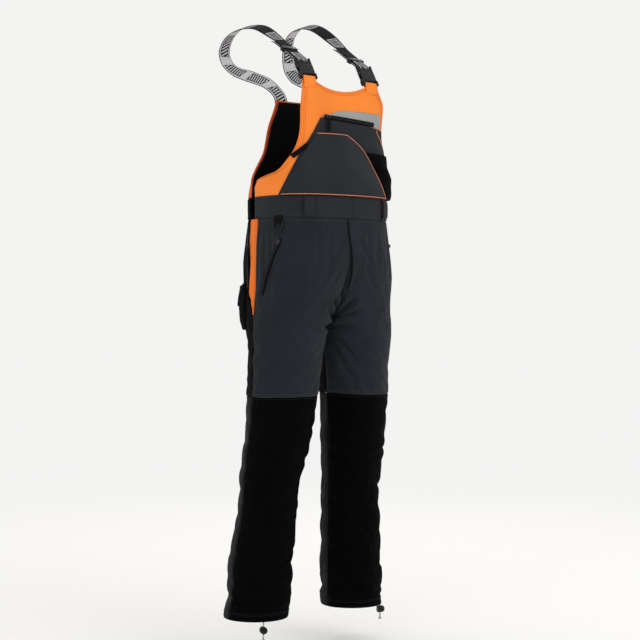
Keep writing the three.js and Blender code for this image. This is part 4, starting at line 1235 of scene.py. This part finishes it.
# lines: (points in mm, side way) pairs
def rowPiece(name, lines, tree):
    verts, edges, sides = [], [], []
    for points, way in lines:
        n = len(verts)
        verts += [tuple(q) for q in np.asarray(points) / 1000]
        sides += [tuple(q) for q in np.broadcast_to(np.asarray(way, float), np.asarray(points).shape)]
        edges += [(n + i, n + i + 1) for i in range(len(points) - 1)]
    mesh = bpy.data.meshes.new(name + "Line")
    mesh.from_pydata(verts, edges, [])
    layer = mesh.attributes.new("side", "FLOAT_VECTOR", "POINT")
    layer.data.foreach_set("vector", np.array(sides, float).ravel())
    source = bpy.data.objects.new(name + "Line", mesh)
    bpy.context.collection.objects.link(source)
    source.modifiers.new("row", "NODES").node_group = tree
    got = bpy.data.meshes.new_from_object(source.evaluated_get(bpy.context.evaluated_depsgraph_get()))
    bpy.data.objects.remove(source)
    for extra in [a.name for a in got.attributes if a.name == "side"]:
        got.attributes.remove(got.attributes[extra])
    ob = bpy.data.objects.new(name, got)
    bpy.context.collection.objects.link(ob)
    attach(ob, "trousers")
    return ob


stitchSet = {"Pitch": 0.0043, "Width": 0.00042, "Length": 0.0029}
greyRows, blackRows, orangeRows = [], [], []
up = np.array([0, 0, 1.0])


def across(points):
    return points, up


def legLine(side, angle, z, off):
    return across(leg(side, angle, z, off))


def torsoLine(angle, z, off):
    return across(torso(angle, z, off))


seam = np.linspace(0, 1, 90)
for zz in (-3.6, -9.5, -46.5, -50.2):
    for side in (-1, 1):
        greyRows.append(torsoLine(side * lerp(1, 97, seam), np.full(90, zz), 1.1))
    blackRows.append(torsoLine(lerp(106, 254, seam), np.full(90, zz), 1.1))
for side in (-1, 1):
    def ring(angleFrom, angleTo, z, off=0.35):
        return legLine(side, lerp(angleFrom, angleTo, seam), z, off)

    top = innerAngle(np.array(-58.0))
    greyRows.append(ring(-top + 1, 3, np.full(90, -58.5)))
    greyRows.append(ring(-top + 1, 3, np.full(90, -62.0)))
    knee = float(innerAngle(np.array(kneeSeam + 4.0)))
    for zz in (kneeSeam + 4.2, kneeSeam + 8.0):
        greyRows.append(ring(-knee + 1, 3, np.full(90, zz)))
        blackRows.append(ring(6, knee - 1, np.full(90, zz)))
    blackRows.append(ring(-knee + 1, 3, np.full(90, kneeSeam - 4.0)))
    for zz in (hemLine + 15, hemLine + 19):
        low = float(innerAngle(np.array(zz)))
        blackRows.append(ring(-low + 1, 3, np.full(90, zz)))
        blackRows.append(ring(6, low - 1, np.full(90, zz)))
    thigh = np.linspace(-488, -58, 90)
    greyRows.append(legLine(side, sideSeam - 2.2, thigh, 0.35))
    greyRows.append(legLine(side, sideSeam - 4.4, thigh, 0.35))
    lower = np.linspace(-1048, -497, 90)
    blackRows.append(legLine(side, sideSeam - 2.4, lower, 0.35))
    blackRows.append(legLine(side, sideSeam + 3.0, lower, 0.35))
    stripeZ = np.linspace(-275, -58, 60)
    orangeRows.append(legLine(side, sideSeam + 1.8, stripeZ, 0.35))
    orangeRows.append(legLine(side, stripeBack(stripeZ) - 1.8, stripeZ, 0.35))
    blackRows.append(legLine(side, seatFront(thigh) + 2.2, thigh, 0.35))
    inseam = np.linspace(-1048, -310, 120)
    blackRows.append(legLine(side, innerAngle(inseam) - 6, inseam, 0.35))

    hole = np.linspace(46, 278, 80)
    for gap in (2.0, 3.6):
        rim = armhole(hole) if side < 0 else armholeLeft(hole)
        orangeRows.append(torsoLine(side * (rim - gap), hole, 0.35))
    zip0 = np.linspace(0, 1, 40)
    for shift in (-3.2, 3.2):
        greyRows.append(legLine(side, lerp(-26, -12, zip0) + shift, lerp(-104, -249, zip0), 0.35))

backZ = np.linspace(3, 246, 60)
for side in (1, -1):
    edge = station(backEdgeRows, backZ)[0]
    orangeRows.append(torsoLine(np.where(side > 0, edge + 3.0, 360 - edge - 3.0), backZ, 0.35))
wide = np.linspace(-104, 104, 80)
topZ = lerp(bibDip, bibTop, np.minimum(np.abs(wide) / 78, 1) ** 2.2)
for gap in (5.0, 9.5):
    orangeRows.append(torsoLine(angleAt(wide, topZ - gap), topZ - gap, 0.35))

chestZ = np.linspace(6, 190, 60)
for gap in (1.3, 2.6):
    greyRows.append(torsoLine(angleAt(chestLeft(chestZ), chestZ) + gap, chestZ, 3.7))
topX = np.linspace(-52, 96, 60)
panelTopZ = zipHeight(topX) - 7.5 - 9 * smooth((topX - 60) / 60)
greyRows.append(torsoLine(angleAt(topX, panelTopZ), panelTopZ, 3.7))
jay = np.linspace(0, 1, 60)
jayX = lerp(27, 3, smooth(jay, 0.72, 1.0))
jayZ = lerp(-60, -246, jay)
jayY = middleY(jayX, jayZ)
for shift in (0, 3.2):
    greyRows.append((np.stack([jayX + shift, jayY - 0.6, jayZ], -1), up))
rowPiece("greyTopstitch", greyRows, rowTree("stitchRowGrey", threadGrey, stitchSet))
rowPiece("blackTopstitch", blackRows, rowTree("stitchRowBlack", threadBlack, stitchSet))
rowPiece("orangeTopstitch", orangeRows, rowTree("stitchRowOrange", threadOrange, stitchSet))
print("stage: stitches")


# the circle through three points, as the CAD zips run: returns points and side ways along it
def track(points, normal):
    a, b, c = points
    ab, ac = b - a, c - a
    axis = np.cross(ab, ac)
    d = 2 * axis @ axis
    centre = a + np.cross(axis, ab) * (ac @ ac) / d + np.cross(ac, axis) * (ab @ ab) / d
    axis = axis / np.linalg.norm(axis)
    first = a - centre
    radius = np.linalg.norm(first)
    other = np.cross(axis, first) / radius
    last = c - centre
    turn = math.atan2(last @ other, last @ first / radius)
    t = np.linspace(0.012, 0.988, 60) * turn
    radial = np.cos(t)[:, None] * first / radius + np.sin(t)[:, None] * other
    middle = np.cos(turn / 2) * first / radius + np.sin(turn / 2) * other
    lean = math.atan2(normal @ axis, normal @ middle)
    out = radial * math.cos(lean) + axis * math.sin(lean)
    along = np.cross(axis, radial) * np.sign(turn)
    return centre + radial * radius, out, np.cross(along, out)


teeth = []


def zipTeeth(points, normal):
    p, out, side = track([np.asarray(q, float) for q in points], normal)
    teeth.append((p + out * 1.95, side))


def chestZipAt(x):
    angle, z = angleAt(x, zipHeight(x)), zipHeight(x)
    return torsoAt(angle, z) + 5.0 * torsoNormal(angle, z)


def hipZipAt(side, f):
    angle, z = lerp(-26.0, -12.0, f), lerp(-108.0, -245.0, f)
    return legAt(side, angle, z) + 1.5 * legNormal(side, angle, z)


def sideZipAt(side, z):
    return legAt(side, 18.5, z) + 0.5 * legNormal(side, 18.5, z)


midChest = zipHeight(20.0)
zipTeeth([chestZipAt(x) for x in (-60.0, 20.0, 100.0)], torsoNormal(angleAt(20.0, midChest), midChest))
for side in (-1, 1):
    zipTeeth([hipZipAt(side, f) for f in (0, 0.5, 1)], legNormal(side, -19.0, -176.0))
    zipTeeth([sideZipAt(side, z) for z in (-64.0, -140.0, -226.0)], legNormal(side, 18.5, -140.0))
rowPiece("zipTeeth", teeth,
         rowTree("zipTeethRow", zipCoil,
                 {"Pitch": 0.0016, "Width": 0.0036, "Height": 0.0009, "Length": 0.0009}, block=True))
print("stage: zip teeth")

# piping along the pouch and the chest panel


def pouchPoint(u, v, off):
    return pouch(np.asarray(u, float), np.asarray(v, float), np.asarray(off, float))


pipes = []
pipes.append(pouchPoint(np.linspace(0.01, 0.99, 90), np.full(90, 0.995), np.full(90, 0.4)))
pipes.append(pouchPoint(np.full(120, 0.995), np.linspace(0.995, 0.0, 120), np.full(120, 0.4)))
pipes.append(pouchPoint(np.linspace(0.0, 1.0, 140), np.full(140, 0.0), np.full(140, 0.4)))
shortZ = np.linspace(176, 140, 30)
pipes.append(torso(lerp(50, 58, smooth(np.linspace(0, 1, 30))), shortZ, np.full(30, 4.4)))
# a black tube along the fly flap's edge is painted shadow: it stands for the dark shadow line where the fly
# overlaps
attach(tube("flyPaintedShadowLine", flyEdge, np.interp(flyV, (0, 0.1, 0.5, 0.9, 1), (0.5, 1.5, 2.1, 1.4, 0.6)),
             solidTape, 8), "trousers")
for k, points in enumerate(pipes):
    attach(tube(f"piping_{k}", points, 0.8, salmonPiping, 8), "trousers")
edgeZ = np.linspace(40, 281, 140)
for side in (-1, 1):
    rim = armhole(edgeZ) if side < 0 else armholeLeft(edgeZ)
    bind = torso(side * (rim + 0.15), edgeZ, np.full(140, -0.9))
    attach(tube(f"armholeBinding_{side + 1}", bind, 1.7, orangeBinding, 8), "trousers")
    edge = station(backEdgeRows, np.linspace(36, 251, 140))[0]
    z = np.linspace(36, 251, 140)
    spine = torso(np.where(side > 0, edge, 360 - edge), z, np.full(140, -1.2))
    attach(tube(f"backBinding_{side + 1}", spine, 3.0, darkBinding, 8), "trousers")
print("stage: piping")
